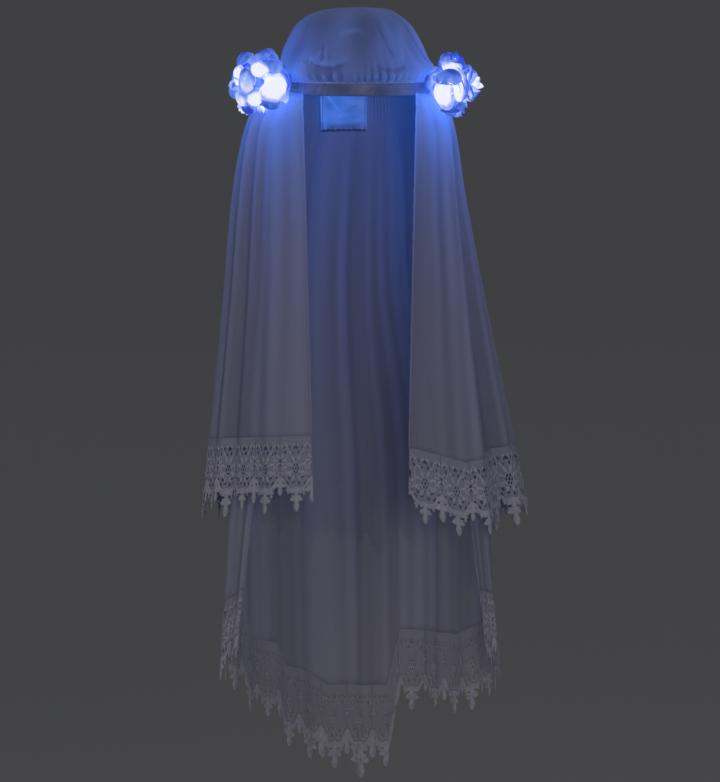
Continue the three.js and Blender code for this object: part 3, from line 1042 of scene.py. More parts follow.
CAP_SECTIONS = tuple(CapSection(*row) for row in (
    (0.0, 1.0, 0.0, 0.0, 0.0, 0.0, 0.0),
    (0.13, 0.975, 0.42, 0.38, 0.34, 0.42, 0.0),
    (0.26, 0.905, 0.72, 0.55, 0.58, 0.67, 0.0),
    (0.42, 0.75, 0.93, 0.74, 0.82, 0.93, 0.0),
    (0.58, 0.52, 1.04, 0.87, 0.98, 1.08, 0.04),
    (0.73, 0.31, 1.13, 1.0, 1.06, 1.14, 0.1),
    (0.86, 0.14, 1.17, 1.13, 1.075, 1.15, 0.5),
    (0.935, 0.055, 1.12, 1.1, 1.05, 1.1, 1.2),
    (1.0, 0.0, 1.0, 1.0, 1.0, 1.0, 0.35),
))
CAP_DENTS = tuple(Dent(*row) for row in (
    (24, 0.14, 12, 0.12, -0.05),
    (20, 0.4, 14, 0.12, 0.04),
    (352, 0.7, 16, 0.12, -0.035),
    (322, 0.5, 9, 0.25, 0.05),
    (300, 0.45, 9, 0.3, -0.05),
    (62, 0.5, 9, 0.3, -0.05),
    (98, 0.5, 9, 0.3, 0.04),
    (128, 0.45, 11, 0.25, -0.06),
    (158, 0.45, 10, 0.25, 0.05),
    (186, 0.5, 10, 0.25, -0.05),
    (212, 0.45, 10, 0.25, 0.05),
    (240, 0.45, 11, 0.25, -0.06),
    (268, 0.5, 9, 0.25, 0.04),
))
CAP_CREASES = tuple(Crease(*row) for row in (
    ((38, 0.26), (12, 0.24), -0.07, 0.03, -3.0),
    ((39, 0.33), (10, 0.31), -0.07, 0.05, 3.0),
    ((31, 0.42), (36, 0.2), 0.0, 0.03, 2.0),
    ((16, 0.66), (352, 0.66), 0.04, 0.035, 1.8),
    ((27, 0.46), (24, 0.24), 0.0, 0.02, 1.5),
    ((30, 0.5), (30, 0.26), 0.0, 0.022, -1.2),
    ((330, 0.82), (321, 0.32), 0.0, 0.03, 1.8),
    ((337, 0.78), (330, 0.35), 0.0, 0.03, -1.4),
    ((345, 0.2), (322, 0.22), -0.05, 0.03, -1.8),
    ((60, 0.8), (72, 0.3), 0.0, 0.03, -1.6),
    ((292, 0.75), (282, 0.25), 0.0, 0.035, -2.0),
    ((150, 0.85), (140, 0.3), 0.0, 0.03, -1.6),
    ((200, 0.85), (192, 0.28), 0.0, 0.03, 1.6),
    ((226, 0.8), (236, 0.3), 0.0, 0.03, -1.6),
    ((172, 0.24), (140, 0.2), -0.06, 0.025, -2.0),
    ((214, 0.22), (184, 0.24), -0.05, 0.025, -2.0),
))


@dataclass
class CrownCap:
    """The puffed net cap, gathered round its rim onto the top edge of the band."""

    band: Headband
    rise: float = 88 * MM
    rim_gap: float = 0.9 * MM
    gather_depth: float = 1.9 * MM
    gathers: int = 54
    crown_forward: float = 10 * MM
    cut_radius: float = 150 * MM
    binding: float = 1.0 * MM
    puffed: tuple[tuple[float, float], ...] = ((21.0, 8.0), (343.0, 10.0))
    least_span: float = 0.02
    fold_height: float = 3.4 * MM
    stitch_lift: float = 0.5 * MM
    wall: float = 0.5 * MM
    columns: int = 432
    rows: int = 64

    def swell(self, angle: Grid, height: Grid) -> tuple[Grid, Grid]:
        """Add up the dents and swells, and the creases.

        Args:
            angle: Turn round the head.
            height: Share of the rise.

        Returns:
            How far each pushes the cloth out.
        """
        dents = np.zeros_like(angle)
        creases = np.zeros_like(angle)
        turn = angle / DEGREE
        for dent in CAP_DENTS:
            aside = turn_from(dent.turn, turn) / dent.turn_spread
            above = (height - dent.height) / dent.height_spread
            dents += dent.depth * self.rise * np.exp(-(aside**2) - above**2)
        degrees_per_rise = self.rise / (self.band.axes(0.0)[0] * DEGREE)
        for crease in CAP_CREASES:
            span = turn_from(crease.start[0], crease.end[0]) / degrees_per_rise
            climb = crease.end[1] - crease.start[1]
            across = turn_from(crease.start[0], turn) / degrees_per_rise
            length = span**2 + climb**2
            along = (across * span + (height - crease.start[1]) * climb) / length
            inside = np.clip(along, 0.0, 1.0)
            sag = crease.sag * 4 * inside * (1 - inside)
            away_across = across - inside * span
            away_up = height - crease.start[1] - inside * climb - sag
            ends = ease(along, -0.15, 0.12) * ease(1 - along, -0.15, 0.12)
            creases += crease.depth * MM * ends * np.exp(-(away_across**2 + away_up**2) / crease.width**2)
        return dents, creases

    def points(self, angle: Grid, down: Grid) -> tuple[Grid, Grid]:
        """Find places on the cap.

        Args:
            angle: Turn round the head.
            down: Share of the way from the crown to the rim.

        Returns:
            Points, and how far each stands out as a fold.
        """
        side, fore = self.band.axes(0.0)
        height = read_rows(CAP_SECTIONS, "height", down)
        spans = (read_rows(CAP_SECTIONS, name, down) for name in SIDES)
        left, right, front, back = (np.maximum(span, self.least_span) for span in spans)
        points, outward = oval_points(angle, left * side, right * side, front * fore, back * fore)
        turns = angle / FULL_TURN
        strength = read_rows(CAP_SECTIONS, "gather", down)
        nape = ease(np.abs(np.sin(angle / 2)), 0.5, 0.8)
        uneven = 0.22 + 0.14 * ripple_noise(turns, 11, 5, 17) + 0.3 * nape
        for middle, reach in self.puffed:
            aside = turn_from(middle, angle / DEGREE)
            uneven = uneven + 1.25 * np.exp(-((aside / reach) ** 4))
        wander = 0.35 * ripple_noise(turns, 12, 3, 11) / self.gathers
        pleats = np.cos(FULL_TURN * self.gathers * (turns + wander))
        tucks = 0.5 * np.cos(FULL_TURN * 2 * self.gathers * (turns - wander) + 1.0) * ease(down, 0.84, 0.95)
        pleats = np.sign(pleats) * np.abs(pleats) ** 0.7 + tucks
        pleats = pleats + 0.5 * hump(down, 0.915, 0.03) * (1 + pleats)
        gather = strength * self.gather_depth * uneven * pleats
        slack = 0.7 * MM * ripple_noise(turns, 13, 3, 11) * ease(down, 0.1, 0.5)
        puffs = ripple_noise(turns + 0.05 * np.sin(5 * down), 14, 2, 7) * ease(down, 0.0, 0.2)
        slack = slack + 0.8 * MM * puffs
        dents, creases = self.swell(angle, height)
        push = gather + dents + creases + slack
        points = points + outward * push[..., None]
        rim = self.band.height / 2 + self.rim_gap
        points[..., 1] -= self.crown_forward * (1 - ease(down, 0.0, 0.2))
        points[..., 2] = rim + height * self.rise
        # The fold mark drives the net's painted shade in hollows and painted light on crests, with creases
        # weighted up.
        shown = 1.1 * gather + 1.4 * creases + slack + 0.3 * dents
        return points, shown / self.fold_height

    def build(self) -> bpy.types.Object:
        """Make the cap.

        Returns:
            The cap, closed at its crown.
        """
        angle = even_turns(self.columns)
        down = np.linspace(0.0, 1.0, self.rows + 1)[1:]
        angles, downs = np.meshgrid(angle, down, indexing="ij")
        points, fold = self.points(angles, downs)
        faces = grid_faces(self.columns, self.rows, wrap=True)
        crown = points[:, 0].mean(axis=0) + np.array([0.0, 0.0, 0.1 * MM])
        flat = np.concatenate([points.reshape(-1, 3), crown[None]])
        last = len(flat) - 1
        for column in range(self.columns):
            following = (column + 1) % self.columns
            faces.append([last, following * self.rows, column * self.rows])
        piece = make_object("crown_cap_net", flat, faces, self.wall)
        mark(piece, "fold", np.append(fold.ravel(), 0.0))
        mark(piece, "run", np.append((self.cut_radius * downs * np.cos(angles)).ravel(), 0.0))
        mark(piece, "fall", np.append((self.cut_radius * downs * np.sin(angles)).ravel(), 0.0))
        return piece

    def build_stitches(self) -> bpy.types.Object:
        """Make the slanted stitches low on the left side, and the binding and running stitches round the rim.

        Returns:
            The stitches and the binding.
        """
        pile = MeshPile()
        for number in range(7):
            turn = (42 + 1.9 * number) * DEGREE
            down = 0.77 + 0.012 * math.sin(1.7 * number)
            share = np.linspace(0.0, 1.0, 5)
            path, _ = self.points(turn + 1.2 * DEGREE * share, down - 0.035 * share)
            path = path + self.lifted(path, self.stitch_lift)
            pile.add(*tube(path, 0.3 * MM, 6))
        rim = even_turns(360)
        binding = self.band.around(rim, 0.0, self.band.height / 2 + self.binding * 0.7)
        pile.add(*tube(binding, self.binding, 8, closed=True))
        stitches = 2 * self.gathers
        for number in range(stitches):
            turn = number / stitches * FULL_TURN
            share = np.linspace(0.0, 0.55, 4)
            path, _ = self.points(turn + FULL_TURN / stitches * share, np.full(4, 0.975))
            rise = 0.2 * MM * np.sin(np.pi * share / 0.55)
            path = path + self.lifted(path, self.stitch_lift + rise[:, None])
            pile.add(*tube(path, 0.24 * MM, 5))
        return pile.make("cap_stitches")

    @staticmethod
    def lifted(path: Grid, lift: Grid | float) -> Grid:
        """Give the level way out from the head's middle at each point, as long as a lift."""
        level = path * np.array([1.0, 1.0, 0.0])
        return unit(level) * lift


# Hanging tiers


@dataclass(frozen=True)
class TierSection:
    """How far a tier has opened from the band's oval to its hem's at a share of its drop."""

    at: float
    left: float
    right: float
    front: float
    back: float
    fold: float


@dataclass(frozen=True)
class HemRow:
    """How low the hem is, as a share of the tier's length, at a share of the way along it."""

    at: float
    drop: float


@dataclass(frozen=True)
class Fold:
    """A fold: where along the cloth, how wide, how deep, and from what share of the drop."""

    at: float
    spread: float
    depth: float
    start: float = 0.0


UPPER_SECTIONS = tuple(TierSection(*row) for row in (
    (0.0, 0.0, 0.0, 0.0, 0.0, 0.16),
    (0.085, 0.53, 0.29, 0.3, 0.3, 0.4),
    (0.31, 0.71, 0.43, 0.6, 0.6, 0.75),
    (0.6, 0.82, 0.65, 0.8, 0.8, 0.9),
    (1.0, 1.0, 1.0, 1.0, 1.0, 1.0),
))
LOWER_SECTIONS = tuple(TierSection(*row) for row in (
    (0.0, 0.0, 0.0, 0.0, 0.0, 0.08),
    (0.03, 0.06, 0.05, 0.02, 0.05, 0.14),
    (0.12, 0.36, 0.22, 0.3, 0.25, 0.5),
    (0.34, 0.62, 0.42, 0.6, 0.55, 0.8),
    (0.66, 0.9, 0.86, 0.9, 0.85, 1.0),
    (1.0, 1.0, 1.0, 1.0, 1.0, 1.0),
))
UPPER_HEM = tuple(HemRow(*row) for row in (
    (0.0, 0.85), (0.22, 0.87), (0.36, 0.93), (0.5, 1.0), (0.62, 0.97),
    (0.78, 0.88), (0.87, 0.9), (0.92, 0.92), (1.0, 0.88),
))
LOWER_HEM = tuple(HemRow(*row) for row in (
    (0.0, 0.82), (0.11, 0.85), (0.24, 0.87), (0.27, 0.915), (0.33, 0.925),
    (0.35, 0.963), (0.4, 0.975), (0.44, 1.0), (0.55, 1.0), (0.575, 0.906),
    (0.7, 0.91), (0.77, 0.885), (0.85, 0.842), (1.0, 0.82),
))
LOWER_DROPS = tuple(HemRow(*row) for row in (
    (0.0, 0.7), (0.3, 0.66), (0.4, 0.9), (0.46, 1.0), (0.54, 1.0),
    (0.6, 0.66), (0.8, 0.8), (1.0, 0.6),
))
UPPER_FOLDS = tuple(Fold(*row) for row in (
    (0.05, 0.022, 0.9), (0.13, 0.026, -1.0), (0.21, 0.022, 1.0), (0.28, 0.024, -0.8),
    (0.35, 0.022, 0.8), (0.41, 0.022, -1.0), (0.48, 0.022, 0.9), (0.55, 0.022, -0.9),
    (0.62, 0.022, 0.9), (0.69, 0.024, -0.9), (0.765, 0.024, 1.0), (0.845, 0.03, -3.2, 0.03),
    (0.9, 0.022, 1.0), (0.96, 0.02, -0.7),
))
LOWER_FOLDS = tuple(Fold(*row) for row in (
    (0.08, 0.03, 1.0), (0.17, 0.026, -1.0), (0.26, 0.026, 0.9), (0.35, 0.024, -1.0),
    (0.43, 0.026, 1.0), (0.52, 0.026, -1.0), (0.61, 0.024, 1.0), (0.7, 0.026, -0.9),
    (0.79, 0.026, 1.0), (0.89, 0.03, -1.0),
))
UPPER_FOLD_DEPTH = 8.5 * MM
LOWER_FOLD_DEPTH = 7 * MM
FOLD_SHARE = 0.75
RIPPLE_SHARE = 0.3
FOLD_ONSET = 0.25
SEAT_GAP = 0.3 * MM
SOLID_WALL = 1.2 * MM


@dataclass
class VeilTier:
    """One hanging tier of net, open over the face and gathered onto the band."""

    name: str
    band: Headband
    seat_offset: float
    hem: tuple[float, float, float, float]
    length: float
    cut_width: float
    fold_depth: float
    opening_top: float
    opening_hem: float
    sections: tuple[TierSection, ...]
    hem_rows: tuple[HemRow, ...]
    folds: tuple[Fold, ...]
    ripples: int
    top_low: float
    top_high: float
    gathers: int
    seed: int
    columns: int = 370
    rows: int = 68
    wall: float = 0.4 * MM

    def push(self, across: Grid, down: Grid) -> Grid:
        """Work out how far the folds push the cloth out.

        Args:
            across: Share of the way from the left front edge to the right one.
            down: Share of the drop.

        Returns:
            The push as a share of the fold depth.
        """
        total = RIPPLE_SHARE * np.sin(FULL_TURN * self.ripples * across + np.sin(FULL_TURN * 2.5 * across))
        for fold in self.folds:
            onset = 1.0 if fold.start == 0 else ease(down, fold.start, fold.start + FOLD_ONSET)
            total = total + FOLD_SHARE * fold.depth * onset * hump(across, fold.at, fold.spread)
        return total

    def points(self, across: Grid, down: Grid) -> tuple[Grid, Grid, Grid]:
        """Find places on the cloth.

        Args:
            across: Share of the way from the left front edge to the right one.
            down: Share of the drop.

        Returns:
            Points, how far each stands out as a fold, and the level directions out.
        """
        across, down = np.broadcast_arrays(np.asarray(across, dtype=float), np.asarray(down, dtype=float))
        side, fore = self.band.axes(self.seat_offset)
        seats = (side, side, fore, fore)
        spans = []
        for seat, hem, name in zip(seats, self.hem, SIDES):
            spans.append(seat + (hem - seat) * read_rows(self.sections, name, down))
        left, right, front, back = spans
        edge_left = self.opening_top * side * (1 - down) + self.opening_hem * self.hem[0] * down
        edge_right = self.opening_top * side * (1 - down) + self.opening_hem * self.hem[1] * down
        start = np.arcsin(edge_left / left)
        end = FULL_TURN - np.arcsin(edge_right / right)
        angle = start + (end - start) * across
        points, outward = oval_points(angle, left, right, front, back)
        fold = self.push(across, down)
        depth = self.fold_depth * read_rows(self.sections, "fold", down)
        uneven = 0.6 + 0.4 * ripple_noise(across, self.seed + 3, 4, 13)
        pleats = 0.4 * MM * uneven * np.cos(FULL_TURN * self.gathers * across) * (1 - ease(down, 0.0, 0.08))
        streaks = ripple_noise(across + 0.004 * np.sin(5 * down), self.seed, 14, 38)
        streaks = 0.8 * MM * streaks * ease(down, 0.02, 0.35)
        points = points + outward * (fold * depth + pleats + streaks)[..., None]
        from_edge = np.minimum(across, 1 - across)
        top = self.top_low + (self.top_high - self.top_low) * ease(from_edge, 0.2, 0.25)
        bottom = -self.length * self.hem_drop(across)
        points[..., 2] = top + (bottom - top) * down
        # The fold mark drives the net's painted shade in hollows and painted light on crests.
        shown = fold * read_rows(self.sections, "fold", down) + streaks / (1.6 * MM) + pleats / (0.8 * MM)
        return points, shown, outward

    def hem_drop(self, across: Grid) -> Grid:
        """Give the hem's depth as a share of the length."""
        return np.interp(across, [row.at for row in self.hem_rows], [row.drop for row in self.hem_rows])

    def build(self) -> bpy.types.Object:
        """Make the tier.

        Returns:
            The cloth.
        """
        across = np.linspace(0.0, 1.0, self.columns + 1)
        down = np.linspace(0.0, 1.0, self.rows + 1)
        grid_across, grid_down = np.meshgrid(across, down, indexing="ij")
        points, fold, _ = self.points(grid_across, grid_down)
        faces = grid_faces(self.columns + 1, self.rows + 1, wrap=False)
        piece = make_object(f"{self.name}_net", points, faces, self.wall)
        mark(piece, "fold", fold)
        mark(piece, "run", grid_across * self.cut_width)
        mark(piece, "fall", grid_down * self.length)
        return piece

    def build_edges(self) -> bpy.types.Object:
        """Make the narrow rolled hems along the two front edges.

        Returns:
            Both rolls in one piece.
        """
        pile = MeshPile()
        down = np.linspace(0.0, 1.0, 150)
        for across in (0.0, 1.0):
            path, _, outward = self.points(np.full_like(down, across), down)
            radius = (1.15 + 0.2 * ripple_noise(down, self.seed + 1, 12, 50)) * MM
            sway = 0.35 * MM * ripple_noise(down, self.seed + 2, 10, 30)
            points, faces = tube(path + outward * sway[:, None], radius, 10)
            around = np.tile(np.arange(10) * MM, len(down))
            # A fold mark of 0.9 paints the rolled edges as lit crests: a painted highlight along them.
            pile.add(points, faces, fold=0.9, run=around, fall=np.repeat(down * self.length, 10))
        return pile.make(f"{self.name}_front_rolls")


# Lace


class Motif:
    """One repeat of lace, laid out flat, in shares of its width across and depths below the hem."""

    def __init__(self, width: float) -> None:
        """Start an empty repeat.

        Args:
            width: How wide the repeat is.
        """
        self.width = width
        self.pile = MeshPile()

    def strip(self, path: Sequence[Spot], width: float, lift: float, steps: int = 2) -> None:
        """Lay a cord of thread along a smooth path.

        Args:
            path: Points, each a share across the repeat and a depth.
            width: How wide the cord is.
            lift: How far it stands off the ground net.
            steps: How many pieces each stretch is cut into.
        """
        known = np.array(path)
        at = np.linspace(0, len(known) - 1, (len(known) - 1) * steps + 1)
        line = np.stack([self.curve(known[:, axis], at) for axis in range(2)], axis=1)
        real = line * np.array([self.width, 1.0])
        ahead = np.gradient(real, axis=0)
        ahead = ahead / np.maximum(np.linalg.norm(ahead, axis=1, keepdims=True), 1e-9)
        aside = np.stack([-ahead[:, 1], ahead[:, 0]], axis=1) * width / 2
        parts = []
        for share, height in ((-1.0, 0.4), (0.0, 1.2), (1.0, 0.4)):
            flat = real + aside * share
            crown = np.full(len(flat), lift * height)
            parts.append(np.column_stack([flat[:, 0] / self.width, flat[:, 1], crown]))
        self.pile.add(np.stack(parts, axis=1), grid_faces(len(real), len(parts), wrap=False), cord=1.0)

    @staticmethod
    def curve(values: Grid, at: Grid) -> Grid:
        """Run a soft curve through values that lie one step apart."""
        rows = [HemRow(float(number), float(value)) for number, value in enumerate(values)]
        return read_rows(rows, "drop", at)

    def leaf(self, foot: Spot, turn: float, length: float, width: float, lift: float) -> None:
        """Lay a raised leaf of satin stitch.

        Args:
            foot: Its foot, a share across the repeat and a depth.
            turn: Where it points, in degrees from straight down towards the right.
            length: How long it is.
            width: How wide it is.
            lift: How far its middle stands off.
        """
        along = np.array([0.0, 0.16, 0.5, 0.84, 1.0])
        half = width / 2 * np.sqrt(np.sin(np.pi * np.clip(along, 0.015, 0.985) ** 0.85))
        direction = np.array([math.sin(turn * DEGREE), math.cos(turn * DEGREE)])
        aside = np.array([direction[1], -direction[0]])
        parts = []
        for share, height in ((-1.0, 0.1), (0.0, 1.0), (1.0, 0.1)):
            flat = along[:, None] * length * direction + (half * share)[:, None] * aside
            crown = lift * height * np.sin(np.pi * np.clip(along, 0.06, 0.94))
            parts.append(np.column_stack([foot[0] + flat[:, 0] / self.width, foot[1] + flat[:, 1], crown]))
        self.pile.add(np.stack(parts, axis=1), grid_faces(len(along), len(parts), wrap=False), cord=1.0)

    def ring(self, middle: Spot, across: float, deep: float, width: float, lift: float) -> None:
        """Lay a round of cord.

        Args:
            middle: Its middle, a share across the repeat and a depth.
            across: Half its width.
            deep: Half its height.
            width: How wide the cord is.
            lift: How far it stands off.
        """
        angle = np.linspace(0.0, FULL_TURN, 13)
        path = [
            (middle[0] + math.cos(turn) * across / self.width, middle[1] + math.sin(turn) * deep)
            for turn in angle
        ]
        self.strip(path, width, lift, steps=1)


SCROLL = ((0.4, 0.1), (0.24, 0.22), (0.33, 0.4), (0.3, 0.62), (0.42, 0.74), (0.46, 0.66))
SCROLL_LEAVES = ((-50, 0.25, 0.28), (60, 0.3, 0.56), (-70, 0.3, 0.7), (10, 0.44, 0.78))
TOP_LEAVES = ((130, 0.26, 0.2), (20, 0.42, 0.14), (-160, 0.1, 0.2))
DROP_LEAVES = ((0.1, 50, 0.28, 0.17), (0.5, 84, 0.25, 0.2), (0.5, 125, 0.22, 0.14))


@dataclass
class LaceEdge:
    """The pierced lace edge that carries on below a tier's hem, with hanging drops."""

    tier: VeilTier
    repeats: int
    drops: tuple[HemRow, ...] = (HemRow(0.0, 1.0), HemRow(1.0, 1.0))
    depth: float = 64 * MM
    drop: float = 26 * MM
    overlap: float = 0.3 * MM
    wall: float = 0.45 * MM
    cells: int = 16
    cord: float = 1.7 * MM
    lift: float = 0.4 * MM

    def place(self, across: Grid, below: Grid, lift: Grid) -> Grid:
        """Put flat lace onto the line of the hanging cloth.

        Args:
            across: Share of the way along the hem.
            below: Depth below the hem, negative where it lies on the tier.
            lift: How far it stands off.

        Returns:
            Points.
        """
        across = np.clip(across, 0.0, 1.0)
        stretch = self.tier.sections[-2].at
        hem, _, outward = self.tier.points(across, np.ones_like(across))
        above, _, _ = self.tier.points(across, np.full_like(across, stretch))
        fall = hem - above
        carried = hem + fall * (below / np.abs(fall[..., 2]))[..., None]
        drop = self.tier.length * self.tier.hem_drop(across)
        on_tier, _, _ = self.tier.points(across, np.clip(1 + np.minimum(below, 0) / drop, 0, 1))
        points = np.where((below < 0)[..., None], on_tier, carried)
        return points + outward * lift[..., None]

    def hem_width(self) -> float:
        """Measure the hem along its folds.

        Returns:
            Its length.
        """
        points, _, _ = self.tier.points(np.linspace(0, 1, 900), np.ones(900))
        return float(np.linalg.norm(np.diff(points, axis=0), axis=1).sum())

    def scallop(self, across: Grid) -> Grid:
        """Give the lower edge of the ground net across one repeat, from -0.5 to 0.5."""
        return self.depth * (0.9 + 0.1 * np.cos(FULL_TURN * across) - 0.05 * np.cos(2 * FULL_TURN * across))

    def ground(self) -> tuple[Grid, list[list[int]]]:
        """Lay out the ground net of one repeat, pierced by its eyelets.

        Returns:
            Flat vertices and faces.
        """
        columns = self.cells
        rows = 2 * self.cells
        across = np.linspace(-0.5, 0.5, columns + 1)
        shares = np.linspace(0.0, 1.0, rows + 1)
        grid_across, grid_share = np.meshgrid(across, shares, indexing="ij")
        below = -self.overlap + grid_share * (self.scallop(grid_across) + self.overlap)
        holes = [(0.0, 0.6, 0.12, 0.11), (-0.5, 0.47, 0.08, 0.07), (0.5, 0.47, 0.08, 0.07)]
        for row, level in enumerate((0.2, 0.3, 0.76, 0.86)):
            for step in range(-2, 3):
                at = (step + 0.5 * (row % 2)) / 5.0 + 0.02 * math.sin(7.0 * step + row)
                holes.append((at, level + 0.015 * math.sin(3.0 * step + 2 * row), 0.042, 0.032))
        middle_across = (grid_across[:-1, :-1] + grid_across[1:, 1:]) / 2
        middle_below = (below[:-1, :-1] + below[1:, 1:]) / 2
        keep = np.ones_like(middle_across, dtype=bool)
        for at, deep, half, tall in holes:
            reach = ((middle_across - at) / half) ** 2 + ((middle_below / self.depth - deep) / tall) ** 2
            keep &= reach > 1
        points = np.stack([grid_across, below, np.zeros_like(below)], axis=-1)
        return points, grid_faces(columns + 1, rows + 1, wrap=False, keep=keep)

    def draw(self, width: float) -> MeshPile:
        """Lay out one repeat of lace.

        Args:
            width: How wide the repeat is.

        Returns:
            Flat parts: shares across, depths and lifts.
        """
        motif = Motif(width)
        motif.pile.add(*self.ground(), cord=0.0)
        cord, lift, deep = self.cord, self.lift, self.depth
        heart = 0.6 * deep
        motif.ring((0.0, heart), 0.13 * width, 0.12 * deep, cord * 0.8, lift)
        motif.ring((0.0, heart), 0.05 * width, 0.045 * deep, cord * 0.6, lift)
        for spoke in range(6):
            turn = spoke * 60 * DEGREE
            ends = [
                (math.sin(turn) * reach, heart + math.cos(turn) * reach * 0.95 * deep)
                for reach in (0.05, 0.13)
            ]
            motif.strip(ends, cord * 0.5, lift)
        for turn in (-150, -90, -35, 35, 90, 150):
            foot = (-0.5 + 0.03 * math.sin(turn * DEGREE), (0.45 + 0.03 * math.cos(turn * DEGREE)) * deep)
            motif.leaf(foot, turn, 0.11 * deep, 0.05 * deep, lift * 1.5)
        petals = 8
        for number in range(petals):
            turn = 360 / petals * (number + 0.5)
            foot = (math.sin(turn * DEGREE) * 0.14, heart + math.cos(turn * DEGREE) * 0.135 * deep)
            motif.leaf(foot, turn, 0.13 * deep, 0.07 * deep, lift * 1.6)
        for side in (-1, 1):
            motif.strip([(side * at, level * deep) for at, level in SCROLL], cord * 0.7, lift)
            for turn, at, level in SCROLL_LEAVES:
                motif.leaf((side * at, level * deep), side * turn, 0.1 * deep, 0.05 * deep, lift * 1.6)
            for turn, at, level in TOP_LEAVES:
                motif.leaf((side * at, level * deep), side * turn, 0.08 * deep, 0.045 * deep, lift * 1.4)
        edge = np.linspace(-0.5, 0.5, 13)
        motif.strip([(float(at), float(self.scallop(np.array(at)))) for at in edge], cord, lift, steps=1)
        return motif.pile

    def picots(self, width: float, number: int) -> MeshPile:
        """Lay out what hangs from the scalloped edge of one repeat.

        Args:
            width: How wide the repeat is.
            number: Which repeat it is, counted from the left.

        Returns:
            Flat parts: shares across, depths and lifts.
        """
        motif = Motif(width)
        fullness = float(read_rows(self.drops, "drop", (number + 0.5) / self.repeats))
        for order, (at, share) in enumerate(((0.0, 1.0), (-0.5, 0.66), (0.26, 0.36), (-0.24, 0.4))):
            uneven = 1.0 + 0.17 * math.sin(2.7 * number + 1.9 * order)
            self.hang_drop(motif, at, share * fullness * uneven)
        for order, at in enumerate((-0.37, -0.31, -0.17, -0.1, 0.1, 0.17, 0.33, 0.4)):
            start = float(self.scallop(np.array(at)))
            length = (0.085 + 0.03 * math.sin(5.1 * order + number)) * self.depth
            foot = (at, start - 0.3 * self.cord)
            motif.leaf(foot, 25 * math.sin(9 * at), length, 0.055 * self.depth, self.lift * 2)
        return motif.pile

    def hang_drop(self, motif: Motif, at: float, share: float) -> None:
        """Hang a drop with side leaves and a three-leaved tip from the scalloped edge.

        Args:
            motif: The repeat it belongs to.
            at: Where it hangs, as a share across.
            share: Its length as a share of the longest.
        """
        start = float(self.scallop(np.array(at))) - 0.7 * self.cord
        length = (self.depth + self.drop - start) * share
        lift = self.lift * 1.8
        motif.leaf((at, start), 0, 0.9 * length, 0.2 * length, lift)
        motif.leaf((at, start + 0.6 * length), 0, 0.4 * length, 0.24 * length, lift)
        for side in (-1, 1):
            for foot, turn, long, wide in DROP_LEAVES:
                motif.leaf((at, start + foot * length), side * turn, long * length, wide * length, lift)

    def build(self) -> bpy.types.Object:
        """Make the whole edge.

        Returns:
            The lace.
        """
        width = self.hem_width() / self.repeats
        drawn = self.draw(width)
        pile = MeshPile()
        for number in range(self.repeats):
            for flat in (drawn, self.picots(width, number)):
                points = np.concatenate(flat.points)
                across = (number + 0.5 + points[:, 0]) / self.repeats
                pile.add(
                    self.place(across, points[:, 1], points[:, 2]), flat.faces,
                    cord=np.concatenate(flat.marks["cord"]),
                    run=across * width * self.repeats, fall=points[:, 1],
                )
        return pile.make(f"{self.tier.name.replace('tier', 'lace')}_edge", self.wall)


# Battery pouch


